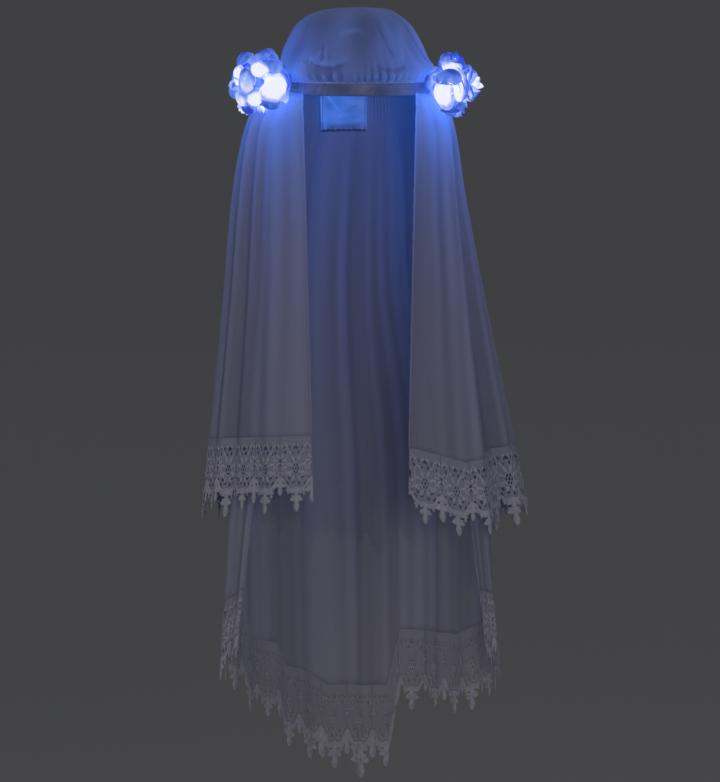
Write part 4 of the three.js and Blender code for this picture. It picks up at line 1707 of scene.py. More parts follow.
@dataclass
class BatteryPouch:
    """The soft satin pocket that hangs inside the band at the nape."""

    band: Headband
    width: float = 58 * MM
    height: float = 60 * MM
    thick: float = 12 * MM
    top: float = 5 * MM
    left_of_middle: float = 19 * MM
    taper: float = 0.05
    edge: float = 0.35
    columns: int = 70
    rows: int = 72

    def back_at(self, x: Grid) -> Grid:
        """Find the inside of the band at a place across."""
        side, fore = self.band.axes(-self.band.wall / 2 - SEAT_GAP)
        return fore * np.sqrt(1 - (x / side) ** 2)

    @staticmethod
    def relief(across: Grid, up: Grid) -> Grid:
        """Work out the creases of the satin, from about -1 in a hollow to 1 on a ridge.

        Args:
            across: From -0.5 at the left seam to 0.5 at the right one.
            up: From -0.5 at the bottom to 0.5 at the top.

        Returns:
            The relief.
        """
        swells = 0.35 * np.sin(4.2 * (across + 0.9 * up) + 2.4)
        swells = swells + 0.3 * np.sin(7.5 * (across - 0.6 * up) + 1.2)
        fade = ease(up, -0.35, 0.1)
        slant = 0.75 * (0.3 - up)
        ridge = hump(across + 0.4, slant, 0.05) * fade
        hollow = hump(across + 0.52, slant, 0.07) * fade
        short = hump(up + 0.12, 0.35 * across, 0.05) * ease(0.3 - np.abs(across - 0.1), 0.0, 0.2)
        corner = hump(across + 0.4, -0.25 * (up + 0.3), 0.06) * ease(-up, 0.05, 0.3)
        # The roll pulls the bottom in and, through the fold mark, paints it dark: painted shade along the
        # rolled bottom.
        roll = (1 - ease(up, -0.44, -0.31 + 0.06 * across)) * (0.3 + 0.7 * ease(across, -0.46, -0.25))
        return swells + 1.2 * ridge + 1.1 * corner - 1.2 * hollow - 0.7 * short - 2.6 * roll

    def points(self, across: Grid, up: Grid, front: bool) -> Grid:
        """Find places on the pouch.

        Args:
            across: From -0.5 at the left seam to 0.5 at the right one.
            up: From -0.5 at the bottom to 0.5 at the top.
            front: Whether it's the side that faces the wearer's head.

        Returns:
            Points.
        """
        x = across * self.width * (1 - self.taper * (0.5 - up)) - self.left_of_middle
        back = self.back_at(x)
        round_off = np.sqrt(np.abs(np.cos(np.pi * across) * np.cos(np.pi * up)))
        if not front:
            tuck = 1.6 * MM * (1 - round_off) ** 2
            return np.stack([x, back - tuck, self.top + (up - 0.5) * self.height], axis=-1)
        thick = self.thick * (self.edge + (1 - self.edge) * round_off)
        bottom = 1 - ease(up, -0.5, -0.3)
        gathers = 0.8 * MM * np.cos(FULL_TURN * 9 * across) * bottom
        relief = self.relief(across, up)
        y = back - thick + gathers + MM * (1.6 - 1.7 * relief) * round_off
        y = np.maximum(y, back - self.thick - 0.6 * MM)
        z = self.top + (up - 0.5) * self.height + 0.3 * MM * np.cos(FULL_TURN * 3.5 * across + 0.8) * bottom
        return np.stack([x, y, z], axis=-1)

    def build(self) -> bpy.types.Object:
        """Make the pouch.

        Returns:
            The closed, creased pocket.
        """
        across = np.linspace(-0.5, 0.5, self.columns + 1)
        up = np.linspace(-0.5, 0.5, self.rows + 1)
        grid_across, grid_up = np.meshgrid(across, up, indexing="ij")
        count = (self.columns + 1) * (self.rows + 1)
        front = self.points(grid_across, grid_up, True)
        back = self.points(grid_across, grid_up, False)
        faces = grid_faces(self.columns + 1, self.rows + 1, wrap=False)
        faces += [[number + count for number in reversed(face)] for face in faces]
        rows = self.rows + 1
        border = [column * rows for column in range(self.columns + 1)]
        border += [self.columns * rows + row for row in range(1, rows)]
        border += [column * rows + self.rows for column in range(self.columns - 1, -1, -1)]
        border += [row for row in range(self.rows - 1, 0, -1)]
        for here, there in zip(border, border[1:] + border[:1]):
            faces.append([there, here, here + count, there + count])
        both = np.concatenate([front.reshape(-1, 3), back.reshape(-1, 3)])
        piece = make_object("battery_pouch_satin", both, faces)
        # The relief is marked as fold for the satin's painted light: brighter on ridges, painted shade in
        # hollows and along the rolled bottom.
        relief = self.relief(grid_across, grid_up).ravel()
        mark(piece, "fold", np.concatenate([relief, np.zeros(count)]))
        return piece

    def build_trim(self) -> bpy.types.Object:
        """Make the rolled lower hem and the stitches along the seams.

        Returns:
            The trim.
        """
        pile = MeshPile()
        across = np.linspace(-0.49, 0.49, 90)
        path = self.points(across, np.full_like(across, -0.485), True)
        radius = (1.5 + 0.35 * np.cos(FULL_TURN * 9 * across)) * MM
        pile.add(*tube(path, radius, 10))
        for side in (-1, 1):
            for number in range(16):
                up = np.linspace(-0.44, -0.4, 4) + number * 0.055
                stitch = self.points(np.full_like(up, side * 0.455), up, True)
                stitch[:, 1] -= 0.25 * MM
                pile.add(*tube(stitch, 0.28 * MM, 5))
        return pile.make("battery_pouch_trim")


# Flowers


class FlowerKind(Enum):
    """What a flower of the clusters looks like."""

    ROSE = "rose"
    BUD = "bud"
    BLOSSOM = "blossom"


@dataclass(frozen=True)
class PetalRing:
    """A ring of like petals, as shares of the flower's radius and height."""

    count: int
    foot: float
    reach: float
    rise: float
    belly: float
    width: float
    wrap: float
    roll: float
    turn: float


RINGS = {
    FlowerKind.ROSE: (
        PetalRing(5, 0.16, 1.2, 0.3, 0.8, 0.8, 0.35, 0.2, 0.0),
        PetalRing(4, 0.16, 0.98, 0.66, 1.0, 0.78, 0.6, 0.14, 0.35),
        PetalRing(3, 0.14, 0.66, 0.9, 1.2, 0.74, 0.85, 0.08, 0.1),
        PetalRing(3, 0.1, 0.42, 1.02, 1.35, 0.5, 1.0, 0.02, 0.6),
    ),
    FlowerKind.BUD: (
        PetalRing(4, 0.2, 0.95, 0.5, 1.15, 0.74, 0.6, 0.08, 0.0),
        PetalRing(3, 0.2, 0.6, 0.92, 1.5, 0.8, 0.95, 0.0, 0.5),
        PetalRing(2, 0.15, 0.3, 1.06, 1.7, 0.6, 1.0, 0.0, 0.2),
    ),
    FlowerKind.BLOSSOM: (
        PetalRing(5, 0.1, 1.3, 0.6, 0.7, 0.3, 0.3, -0.14, 0.0),
        PetalRing(5, 0.1, 0.9, 0.9, 0.8, 0.26, 0.4, -0.1, 0.5),
        PetalRing(4, 0.08, 0.45, 1.04, 0.9, 0.2, 0.6, -0.05, 0.2),
    ),
}


@dataclass(frozen=True)
class FlowerPlace:
    """A flower of a cluster: where it faces in degrees, its size as shares, and how brightly its light is
    painted.
    """

    node: str
    outward: float
    upward: float
    wide: float
    deep: float
    kind: FlowerKind
    lit: float


LEFT_FLOWERS = tuple(FlowerPlace(*row) for row in (
    ("rose_left_front", -18, 4, 1.0, 1.0, FlowerKind.ROSE, 1.0),
    ("rose_left_upper", -14, 64, 0.76, 0.9, FlowerKind.ROSE, 0.3),
    ("rose_left_outer", 58, 4, 0.86, 1.0, FlowerKind.ROSE, 0.6),
    ("rose_left_lower", 85, -48, 0.62, 0.8, FlowerKind.BUD, 0.8),
    ("rose_left_crown", 118, 48, 0.86, 0.9, FlowerKind.ROSE, 0.22),
    ("blossom_left_low", 8, -56, 1.0, 1.0, FlowerKind.BLOSSOM, 0.7),
))
RIGHT_FLOWERS = tuple(FlowerPlace(*row) for row in (
    ("rose_right_front", 0, -4, 0.9, 1.0, FlowerKind.ROSE, 1.0),
    ("rose_right_upper", 25, 58, 0.67, 0.9, FlowerKind.ROSE, 0.3),
    ("rose_right_outer", 75, 6, 0.76, 0.8, FlowerKind.ROSE, 0.85),
    ("rose_right_low", 38, -60, 0.57, 0.8, FlowerKind.BUD, 0.5),
    ("blossom_right_top", 125, 44, 1.0, 1.0, FlowerKind.BLOSSOM, 0.9),
    ("blossom_right_side", 122, -30, 1.0, 1.0, FlowerKind.BLOSSOM, 0.7),
))


@dataclass(frozen=True)
class Lobe:
    """A large cupped petal in front of the flowers.

    Its middle lies away, up and forward of the hub, in millimetres, and away is to the right, seen from the
    front. Its half-sizes are in millimetres too. Its light goes from the foot's to the top's, and turns to the
    rim's at the edge.
    """

    away: float
    up: float
    fore: float
    wide: float
    tall: float
    low_light: float
    high_light: float
    rim_light: float = 0.35


LEFT_LOBES = tuple(Lobe(*row) for row in (
    (-24, 34, 10, 11, 12, 0.38, 0.25),
    (6, 38, 17, 12, 11, 0.4, 0.25),
    (-10, 33, 19, 9, 9, 0.5, 0.4),
    (-5, 22, 37, 11, 11, 1.0, 0.86, 0.42),
    (13, 25, 33, 10, 10, 0.5, 0.36),
    (-31, 15, 22, 8, 11, 1.0, 0.95, 0.6),
    (-20, 8, 34, 11, 14, 0.78, 0.55),
    (13, -5, 40, 17, 15.5, 1.0, 1.0, 0.5),
    (-4, -4, 34, 8, 14, 0.42, 0.4),
    (-37, -6, 14, 8, 11, 0.45, 0.38),
    (-26, -16, 26, 10, 9, 0.88, 0.75),
    (-11, -13, 36, 11, 11, 0.95, 0.85),
    (10, -20, 36, 13, 8, 0.3, 0.4),
    (-19, -29, 20, 8, 7, 0.2, 0.28),
    (26, -10, 33, 5, 11, 0.7, 0.5),
    (29, 5, 10, 8, 11, 0.22, 0.26, 0.2),
))
RIGHT_LOBES = tuple(Lobe(*row) for row in (
    (1, 32, 18, 11, 12, 0.5, 0.26),
    (5, 23, 28, 13, 9, 0.95, 0.8, 0.5),
    (13, 4, 34, 9, 20, 1.0, 0.92, 0.5),
    (1, 11, 40, 15, 11, 0.5, 0.27),
    (-4, -10, 38, 13, 17, 1.0, 0.92, 0.5),
    (-15, 17, 26, 6, 7, 0.6, 0.45),
    (15, -24, 27, 6.5, 6.5, 0.4, 0.28),
    (3, -28, 26, 12, 6, 0.24, 0.3),
    (26, -8, 18, 6, 9, 0.75, 0.6),
    (-24, 2, 10, 8, 11, 0.22, 0.26, 0.2),
))


@dataclass
class Flower:
    """One fabric flower, built of cupped petals round its own axis."""

    place: FlowerPlace
    middle: Grid
    side: int
    seed: int
    rose_radius: float = 21 * MM
    rose_height: float = 20 * MM
    blossom_radius: float = 13 * MM
    blossom_height: float = 12 * MM
    spread_reach: float = 33.3 * MM
    wall: float = 0.45 * MM
    steps_across: int = 14
    steps_along: int = 16

    def size(self) -> tuple[float, float]:
        """Give the flower's size.

        Returns:
            Its radius and height.
        """
        if self.place.kind is FlowerKind.BLOSSOM:
            return self.blossom_radius * self.place.wide, self.blossom_height * self.place.deep
        return self.rose_radius * self.place.wide, self.rose_height * self.place.deep

    def facing(self) -> Grid:
        """Work out where the flower looks.

        Returns:
            The direction, one long.
        """
        out = self.place.outward * DEGREE
        up = self.place.upward * DEGREE
        level = math.cos(up)
        return np.array([self.side * math.sin(out) * level, -math.cos(out) * level, math.sin(up)])

    def axes(self) -> tuple[Grid, Grid, Grid]:
        """Work out the flower's own directions.

        Returns:
            Two directions across the flower, and the one it looks along.
        """
        ahead = self.facing()
        hint = UPRIGHT if abs(ahead[2]) < STEEP else FORWARD
        first = unit(np.cross(hint, ahead))
        return first, np.cross(ahead, first), ahead

    def foot(self) -> Grid:
        """Find where the flower's petals start.

        Returns:
            The point.
        """
        _, height = self.size()
        widest = 0.9 if self.place.kind is FlowerKind.BLOSSOM else 0.5
        return self.middle + self.facing() * (self.spread_reach - widest * height)

    def petal(self, ring: PetalRing, number: int, chance: np.random.Generator) -> tuple[Grid, Grid, Grid]:
        """Shape one petal.

        Args:
            ring: The ring it belongs to.
            number: Its number in the ring.
            chance: Small differences between petals.

        Returns:
            Points, how lit they are, and how near the rim.
        """
        radius, height = self.size()
        aside = np.linspace(-1.0, 1.0, self.steps_across + 1)
        along = np.linspace(0.0, 1.0, self.steps_along + 1)
        s, t = np.meshgrid(aside, along, indexing="ij")
        reach = ring.reach * (1 + 0.07 * chance.normal())
        rise = ring.rise * (1 + 0.05 * chance.normal())
        turn = (number + ring.turn + 0.07 * chance.normal()) / ring.count * FULL_TURN
        pointed = self.place.kind is FlowerKind.BLOSSOM
        shoulder = np.clip((t - 0.6) / 0.4, 0.0, 1.0)
        blunt = (0.34 + 0.66 * ease(t, 0.0, 0.6)) * np.sqrt(1 - shoulder**2.2)
        half = ring.width * (np.sin(np.pi * t**0.75) ** 0.8 if pointed else blunt)
        out = ring.foot * (1 - t) ** 2 + 2 * t * (1 - t) * reach * ring.belly + t * t * reach
        up = 2 * t * (1 - t) * rise * 0.18 + t * t * rise
        edge = np.maximum(np.abs(s) ** 3, t**5)
        rolled = ring.roll * edge
        dip = 0.0 if pointed else 0.1 * hump(s, 0.0, 0.25) * t**4
        out = out + rolled * 0.5 - dip
        up = up - rolled * 0.9 - dip * 0.4 + 0.05 * np.sin(2.2 * np.pi * s + 6.0 * chance.random()) * t**3
        lateral = s * half
        swing = ring.wrap * lateral / np.clip(out, 0.28, None)
        straight = (1 - ring.wrap) * lateral
        angle = turn + swing
        cup = 0.3 * (1 - ring.wrap) * lateral**2
        x = out * np.cos(angle) - straight * np.sin(angle)
        y = out * np.sin(angle) + straight * np.cos(angle)
        points = set_out(self.foot(), self.axes(), x * radius, y * radius, (up + cup) * height)
        # Painted shade: the painted light is lowered towards each petal's edges.
        return points, self.lit(points) * (0.92 + 0.16 * chance.random()) - 0.14 * edge, edge

    def lit(self, points: Grid) -> Grid:
        """Work out how brightly the lamps light the petals from inside.

        Args:
            points: Places on the petals.

        Returns:
            Brightness from 0 to 1.
        """
        radius, height = self.size()
        heart = self.foot() + self.facing() * height * 0.75
        from_heart = np.linalg.norm(points - heart, axis=-1) / radius
        from_hub = np.linalg.norm(points - self.middle, axis=-1)
        # Painted light: strongest round the flower's own heart, and shared from the hub.
        own = self.place.lit * np.minimum(1.05, 1.55 * hump(from_heart, 0.0, 0.82))
        shared = 0.98 - 0.8 * ease(from_hub, 0.5 * self.spread_reach, 1.42 * self.spread_reach)
        shared = shared * (0.5 + 0.5 * self.place.lit)
        return np.maximum(own, shared) + 0.15 * np.minimum(own, shared)

    def build(self) -> bpy.types.Object:
        """Make the flower.

        Returns:
            Its petals in one piece.
        """
        chance = np.random.default_rng(self.seed)
        faces = grid_faces(self.steps_across + 1, self.steps_along + 1, wrap=False)
        pile = MeshPile()
        for ring in RINGS[self.place.kind]:
            for number in range(ring.count):
                points, lit, rim = self.petal(ring, number, chance)
                pile.add(points, faces, glow=lit, rim=rim)
        return pile.make(f"{self.place.node}_petals", self.wall)

    def bulb(self) -> tuple[Grid, list[list[int]]]:
        """Make the small light in the flower's heart: a domed cap on a short stem.

        Returns:
            Vertices and faces.
        """
        _, height = self.size()
        ahead = self.facing()
        reach = np.array([0.1, 0.35, 0.62, 0.78, 0.88, 0.95, 0.985, 1.0]) * height * 0.82
        radius = np.array([0.9, 1.0, 1.6, 1.65, 1.45, 1.0, 0.55, 0.12]) * MM
        path = self.foot() + reach[:, None] * ahead
        return tube(path, radius, 12)


@dataclass
class FlowerCluster:
    """The flowers at one temple, with loose petals tucked between them."""

    label: str
    side: int
    places: tuple[FlowerPlace, ...]
    lobes: tuple[Lobe, ...]
    seed: int
    leaves: int = 22
    wall: float = 0.45 * MM
    flowers: list[Flower] = field(default_factory=list)

    def middle(self) -> Grid:
        """Find the middle of the hub that carries the cluster.

        Returns:
            The point.
        """
        low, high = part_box(f"flower_post_{self.label}")
        hub = (high[2] - low[2]) / 2
        x = low[0] + hub if self.side < 0 else high[0] - hub
        return np.array([x, (low[1] + high[1]) / 2, (low[2] + high[2]) / 2])

    def build(self, petals: bpy.types.Material, bulbs: bpy.types.Material) -> None:
        """Make every flower and its light.

        Args:
            petals: Petal material.
            bulbs: Bulb material.
        """
        lights = MeshPile()
        for number, place in enumerate(self.places):
            flower = Flower(place, self.middle(), self.side, self.seed + number)
            self.flowers.append(flower)
            piece = flower.build()
            finish_piece(piece, petals, "petal", place.node)
            piece.visible_shadow = False
            lights.add(*flower.bulb())
        piece = lights.make(f"bulbs_{self.label}")
        finish_piece(piece, bulbs, "bulb")
        piece.visible_shadow = False

    def add_lobe(self, pile: MeshPile, lobe: Lobe, chance: np.random.Generator) -> None:
        """Shape one large cupped petal, which bulges away from the hub.

        Args:
            pile: Where it goes.
            lobe: The petal.
            chance: Small differences between petals.
        """
        steps_out, steps_round = 9, 24
        reach = np.linspace(0.04, 1.0, steps_out)
        turn = even_turns(steps_round)
        v, r = np.meshgrid(turn, reach, indexing="ij")
        phase = FULL_TURN * chance.random(3)
        edge = 1 + 0.09 * np.sin(2 * v + phase[0]) + 0.07 * np.sin(3 * v + phase[1])
        across = r * np.cos(v) * edge
        upward = r * np.sin(v) * edge
        crease = 0.16 * hump(across, 0.35 * math.sin(phase[2]), 0.16) * ease(upward, -0.1, 0.9)
        bulge = np.sqrt(1 - (0.97 * r) ** 2) - crease + 0.03 * np.sin(5 * v + phase[0]) * r**3
        middle = np.array([lobe.away, -lobe.fore, lobe.up]) * MM
        ahead = unit(middle + 14.0 * MM * FORWARD)
        first = unit(np.cross(-UPRIGHT, ahead))
        second = np.cross(first, ahead)
        deep = 0.62 * min(lobe.wide, lobe.tall) * MM
        sideways = across * lobe.wide * MM
        upwards = upward * lobe.tall * MM
        points = set_out(
            self.middle() + middle, (first, second, ahead), sideways, upwards, (bulge - 0.6) * deep
        )
        # Painted light from foot to top, with painted shade on one side as a crescent, a painted highlight at
        # the edge and painted shade in the crease.
        light = lobe.low_light + (lobe.high_light - lobe.low_light) * ease(upward, -0.5, 0.8)
        shaded = ease(np.cos(v - phase[2]), -0.5, 0.7)
        light = light + (lobe.rim_light - light) * ease(r, 0.85 - 0.5 * shaded, 1.0) * (0.25 + 0.7 * shaded)
        light = light + 0.22 * ease(r, 0.93, 1.0) * shaded - 0.9 * crease
        faces = grid_faces(steps_round, steps_out, wrap=True)
        faces.append([number * steps_out for number in range(steps_round)][::-1])
        pile.add(points, faces, glow=light, rim=r**6)

    def build_leaves(self, petals: bpy.types.Material) -> None:
        """Tuck loose petals between the flowers, so that the hub stays hidden.

        Args:
            petals: Petal material.
        """
        chance = np.random.default_rng(self.seed + 50)
        pile = MeshPile()
        middle = self.middle()
        across, along = 11, 12
        faces = grid_faces(across, along, wrap=False)
        taken = [flower.facing() for flower in self.flowers]
        for number in range(self.leaves):
            lift = 1 - 2 * (number + 0.5) / self.leaves
            turn = number * FULL_TURN * 0.618
            level = math.sqrt(1 - lift * lift)
            ahead = np.array([level * math.cos(turn), level * math.sin(turn), lift])
            towards_head = -self.side * ahead[0]
            nearest = max(float(ahead @ other) for other in taken)
            if nearest > 0.93:
                continue
            first = unit(np.cross(ahead, chance.normal(size=3)))
            second = np.cross(ahead, first)
            s, t = np.meshgrid(np.linspace(-1, 1, across), np.linspace(0, 1, along), indexing="ij")
            shoulder = np.clip((t - 0.55) / 0.45, 0.0, 1.0)
            half = 11.0 * MM * (0.3 + 0.7 * ease(t, 0, 0.55)) * np.sqrt(1 - shoulder**2.2)
            length = (18.5 + 3.0 * chance.random()) * MM * (1.0 - 0.5 * max(0.0, towards_head))
            lean = 0.5 + 0.4 * chance.random()
            out = 13.5 * MM + length * (t - lean * 0.35 * t * t)
            sag = length * lean * 0.8 * t * t
            cup = -4.5 * MM * (s * s) * t
            points = set_out(middle, (ahead, first, second), out + cup, s * half, sag)
            # Painted light, fading from the foot towards the tip.
            lit = (0.95 - 0.68 * t) * (0.85 + 0.25 * chance.random())
            pile.add(points, faces, glow=lit, rim=np.maximum(np.abs(s) ** 3, t**5))
        for lobe in self.lobes:
            self.add_lobe(pile, lobe, chance)
        piece = pile.make(f"loose_petals_{self.label}", self.wall)
        finish_piece(piece, petals, "petal")
        piece.visible_shadow = False


# Studio


@dataclass
class Studio:
    """Pale floor, soft light, the camera, and a slight bloom round the lit flowers."""

    floor_gap: float = 300 * MM
    floor_radius: float = 15.0
    floor_bend: float = 9.0
    wall_height: float = 14.0
    camera_distance: float = 9.0
    camera_height: float = 4.0
    target: Colour = (0.6 * MM, 0.0, -364 * MM)
    view_height: float = 938.4 * MM
    sensor: float = 36.0
    world_strength: float = 0.115
    lamp_spread: float = 50.0
    key_power: float = 0.72
    fill_power: float = 1.15
    back_power: float = 0.6
    bloom_threshold: float = 0.7
    bloom_strength: float = 0.07
    bloom_size: float = 0.25

    def build_floor(self) -> None:
        """Make the floor below the hem, which curves up into a round wall far away."""
        low, _ = cad_box
        height = low[2] - self.floor_gap
        profile = [(radius, 0.0) for radius in (1.0, 4.0, 8.0, self.floor_radius)]
        for step in range(1, 13):
            turn = step / 12 * math.pi / 2
            profile.append((
                self.floor_radius + math.sin(turn) * self.floor_bend,
                (1 - math.cos(turn)) * self.floor_bend,
            ))
        profile.append((self.floor_radius + self.floor_bend, self.wall_height))
        sides = 96
        angle = even_turns(sides)
        rings = np.array(profile)
        points = np.stack([
            np.cos(angle)[:, None] * rings[None, :, 0],
            np.sin(angle)[:, None] * rings[None, :, 0],
            np.broadcast_to(height + rings[None, :, 1], (sides, len(rings))),
        ], axis=-1)
        faces = grid_faces(sides, len(rings), wrap=True)
        faces.append([side * len(rings) for side in range(sides)][::-1])
        floor = make_object("studio_floor", points, faces)
        floor.data.materials.append(FloorFinish().make())

    def area_lamp(self, name: str, place: Colour, size: float, power: float, colour: Colour) -> None:
        """Hang one soft light that the camera doesn't see.

        Args:
            name: Its name.
            place: Where it hangs.
            size: How wide it is.
            power: Its power.
            colour: Its colour.
        """
        data = bpy.data.lights.new(name, "AREA")
        data.shape = "DISK"
        data.size = size
        data.energy = power
        data.spread = self.lamp_spread * DEGREE
        data.color = colour
        lamp = bpy.data.objects.new(name, data)
        lamp.location = place
        lamp.rotation_mode = "QUATERNION"
        lamp.rotation_quaternion = (Vector(self.target) - Vector(place)).to_track_quat("-Z", "Y")
        lamp.visible_camera = False
        bpy.context.collection.objects.link(lamp)

    def light(self) -> None:
        """Set the room's light and the soft lamps."""
        world = bpy.data.worlds.new("studio_room")
        bpy.context.scene.world = world
        world.use_nodes = True
        background = world.node_tree.nodes["Background"]
        background.inputs["Color"].default_value = (0.95, 0.96, 1.0, 1.0)
        background.inputs["Strength"].default_value = self.world_strength
        self.area_lamp("key_lamp", (-1.9, -2.6, 1.5), 1.8, self.key_power, (1.0, 0.98, 0.96))
        self.area_lamp("fill_lamp", (0.5, -3.4, -0.2), 1.2, self.fill_power, (0.97, 0.96, 1.0))
        self.area_lamp("back_lamp", (0.5, 2.4, 1.6), 1.6, self.back_power, (0.96, 0.97, 1.0))

    def set_camera(self) -> None:
        """Stand the camera at the photograph's angle, far away with a long lens."""
        rise = self.camera_height * DEGREE
        data = bpy.data.cameras.new("photo_camera")
        data.sensor_width = self.sensor
        data.lens = self.sensor * self.camera_distance / self.view_height
        data.clip_end = 200.0
        camera = bpy.data.objects.new("photo_camera", data)
        away = Vector((0.0, -math.cos(rise), math.sin(rise))) * self.camera_distance
        camera.location = Vector(self.target) + away
        camera.rotation_euler = (math.pi / 2 - rise, 0.0, 0.0)
        bpy.context.collection.objects.link(camera)
        bpy.context.scene.camera = camera

    def set_bloom(self) -> None:
        """Let bright petals bloom slightly, as they do in a photograph, and keep colours plain."""
        scene = bpy.context.scene
        scene.view_settings.view_transform = "Standard"
        scene.cycles.transparent_max_bounces = 12
        scene.cycles.diffuse_bounces = 2
        scene.use_nodes = True
        tree = scene.node_tree
        tree.nodes.clear()
        layers = tree.nodes.new("CompositorNodeRLayers")
        glare = tree.nodes.new("CompositorNodeGlare")
        glare.glare_type = "BLOOM"
        glare.inputs["Threshold"].default_value = self.bloom_threshold
        glare.inputs["Strength"].default_value = self.bloom_strength
        glare.inputs["Size"].default_value = self.bloom_size
        out = tree.nodes.new("CompositorNodeComposite")
        tree.links.new(layers.outputs["Image"], glare.inputs["Image"])
        tree.links.new(glare.outputs["Image"], out.inputs["Image"])


def measure(piece: bpy.types.Object) -> float:
    """Add up a piece's area, one side of it, in square metres."""
    return sum(face.area for face in piece.data.polygons)


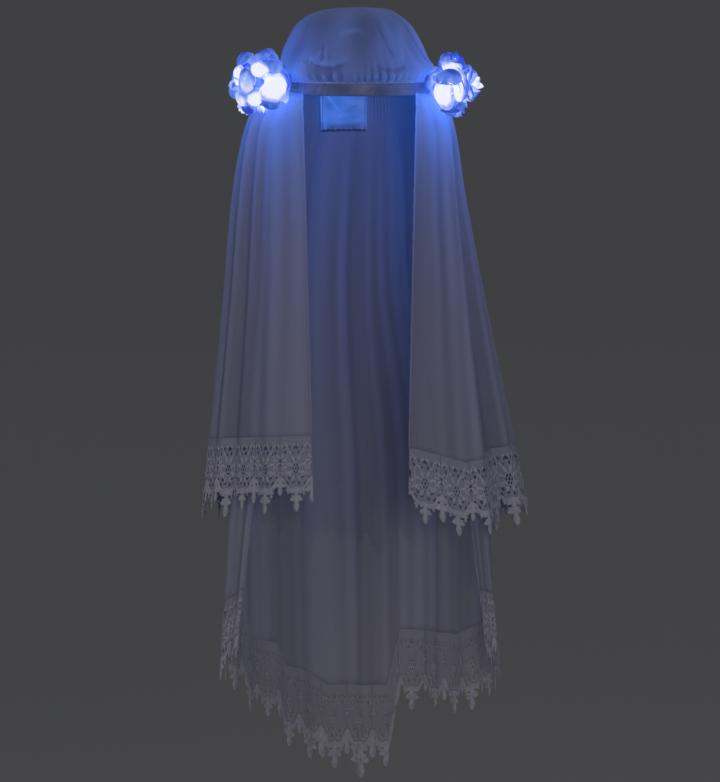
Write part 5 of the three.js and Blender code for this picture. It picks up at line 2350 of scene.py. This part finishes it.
class BridalVeil:
    """The whole headpiece, assembled from its parts in order."""

    def __init__(self) -> None:
        """Set out the parts and the light that they share."""
        self.band = Headband()
        crest = FOLD_SHARE + RIPPLE_SHARE
        upper_gather = UPPER_FOLD_DEPTH * UPPER_SECTIONS[0].fold * crest
        lower_gather = LOWER_FOLD_DEPTH * LOWER_SECTIONS[0].fold * crest
        upper_hem = (173 * MM, 180 * MM, 76 * MM, 150 * MM)
        spaces = (15 * MM, 17 * MM, 10 * MM, 24 * MM)
        self.upper = VeilTier(
            name="upper_tier", band=self.band,
            seat_offset=self.band.wall / 2 + SEAT_GAP + SOLID_WALL / 2 + upper_gather,
            hem=upper_hem, length=485 * MM, cut_width=760 * MM, fold_depth=UPPER_FOLD_DEPTH,
            opening_top=0.81, opening_hem=0.33,
            sections=UPPER_SECTIONS, hem_rows=UPPER_HEM, folds=UPPER_FOLDS, ripples=19,
            top_low=-5.2 * MM, top_high=6.5 * MM, gathers=88, seed=21,
        )
        self.lower = VeilTier(
            name="lower_tier", band=self.band,
            seat_offset=SOLID_WALL / 2 + lower_gather - self.band.wall / 2,
            hem=tuple(size - space for size, space in zip(upper_hem, spaces)),
            length=732 * MM, cut_width=560 * MM, fold_depth=LOWER_FOLD_DEPTH,
            opening_top=0.94, opening_hem=0.88,
            sections=LOWER_SECTIONS, hem_rows=LOWER_HEM, folds=LOWER_FOLDS, ripples=15,
            top_low=-8.4 * MM, top_high=-8.4 * MM, gathers=80, seed=22,
        )
        self.cap = CrownCap(self.band)
        self.pouch = BatteryPouch(self.band)
        # Where the clusters' painted light on the cloth comes from, how strong and how soft close up.
        left = Glow((-112 * MM, -44 * MM, 3 * MM), 0.00125, 32 * MM)
        right = Glow((106 * MM, -44 * MM, -4 * MM), 0.0016, 38 * MM)
        self.lighting = Lighting((left, right))
        self.clusters = (
            FlowerCluster("left", -1, LEFT_FLOWERS, LEFT_LOBES, 100),
            FlowerCluster("right", 1, RIGHT_FLOWERS, RIGHT_LOBES, 200),
        )

    def build_cloth(self) -> None:
        """Make the cap, the tiers and their lace."""
        cap_net = NetFinish(
            "cap_net", self.lighting, colour=(0.42, 0.43, 0.55), shade_colour=(0.3, 0.31, 0.43),
            open_share=0.7, thread_share=0.97, glow_share=0.9,
        ).make()
        outer_net = NetFinish(
            "veil_net", self.lighting, colour=(0.6, 0.58, 0.66), shade_colour=(0.47, 0.45, 0.53),
            open_share=0.4, thread_share=0.94, glow_share=1.1,
        )
        net = outer_net.make()
        lace = LaceFinish("lace_cotton", self.lighting, (0.66, 0.64, 0.71), (0.57, 0.55, 0.63), 0.8).make()
        glows = self.lighting.glows
        # The lower tier's painted cluster light is stronger and softer, spread wider than the upper tier's.
        softer = tuple(replace(glow, power=1.38 * glow.power, softness=90 * MM) for glow in glows)
        inner = replace(outer_net, name="inner_net", lighting=Lighting(softer)).make()
        thread = ThreadFinish("sewing_thread", self.lighting, (0.62, 0.68, 0.9), (0.4, 0.46, 0.7), 0.5).make()
        cap = finish_piece(self.cap.build(), cap_net, "cap_net", "crown_cap")
        finish_piece(self.cap.build_stitches(), thread, "cap_net")
        upper_lace = LaceEdge(self.upper, 24)
        lower_lace = LaceEdge(self.lower, 21, LOWER_DROPS, 72 * MM, 36 * MM)
        for tier, weave, lace_edge, flat, lace_flat in (
            (self.upper, net, upper_lace, (0.76, 0.46), (1.1, 0.09)),
            (self.lower, inner, lower_lace, (0.56, 0.69), (0.85, 0.1)),
        ):
            cloth = finish_piece(tier.build(), weave, "veil_net", tier.name)
            rolls = finish_piece(tier.build_edges(), weave, "veil_net")
            edge = finish_piece(lace_edge.build(), lace, "lace", tier.name.replace("tier", "lace"))
            log.info("%s area %.3f, %s area %.3f", cloth.name, measure(cloth), edge.name, measure(edge))
        log.info("cap area %.3f", measure(cap))

    def build_band(self) -> None:
        """Make the satin band and the battery pouch."""
        # The band satin's dark colour is painted shade, standing in for an unlit band; the piping and the
        # pouch trim share it.
        satin = SatinFinish("band_satin", self.lighting, (0.22, 0.22, 0.28), (0.16, 0.16, 0.22), 0.34).make()
        # Painted light: the pouch's bright blue comes mostly from strong emission standing in for the
        # clusters' light.
        pouch_satin = SatinFinish(
            "pouch_satin", self.lighting, colour=(0.36, 0.5, 0.85), shade_colour=(0.24, 0.38, 0.75),
            glow_share=3.6, glow_colour=(0.045, 0.24, 1.0),
        ).make()
        finish_piece(self.band.build(), satin, "band_satin", "headband")
        finish_piece(self.band.build_piping(), satin, "band_satin")
        pouch = finish_piece(self.pouch.build(), pouch_satin, "pouch_satin", "battery_pouch")
        # The rolled lower hem takes the dark band satin: painted shade under the pouch.
        finish_piece(self.pouch.build_trim(), satin, "pouch_satin")

    def build_flowers(self) -> None:
        """Make both clusters and dress the posts that carry them."""
        petals = PetalFinish("petal_cloth").make()
        bulbs = BulbFinish("bulb_plastic").make()
        stem = ThreadFinish(
            "stem_wrap", self.lighting, colour=(0.2, 0.22, 0.4), shade_colour=(0.12, 0.15, 0.34),
            glow_share=0.12, twist=2.2 * MM,
        ).make()
        for cluster in self.clusters:
            cluster.build(petals, bulbs)
            cluster.build_leaves(petals)
            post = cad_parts[f"flower_post_{cluster.label}"]
            post.data.materials.clear()
            post.data.materials.append(stem)
            post.visible_shadow = False


def main() -> None:
    """Build the veil and its studio."""
    logging.basicConfig(level=logging.INFO, format="%(name)s: %(message)s")
    veil = BridalVeil()
    veil.build_band()
    veil.build_cloth()
    veil.build_flowers()
    studio = Studio()
    studio.build_floor()
    studio.light()
    studio.set_camera()
    studio.set_bloom()
    bpy.context.view_layer.update()


if __name__ == "__main__":
    main()
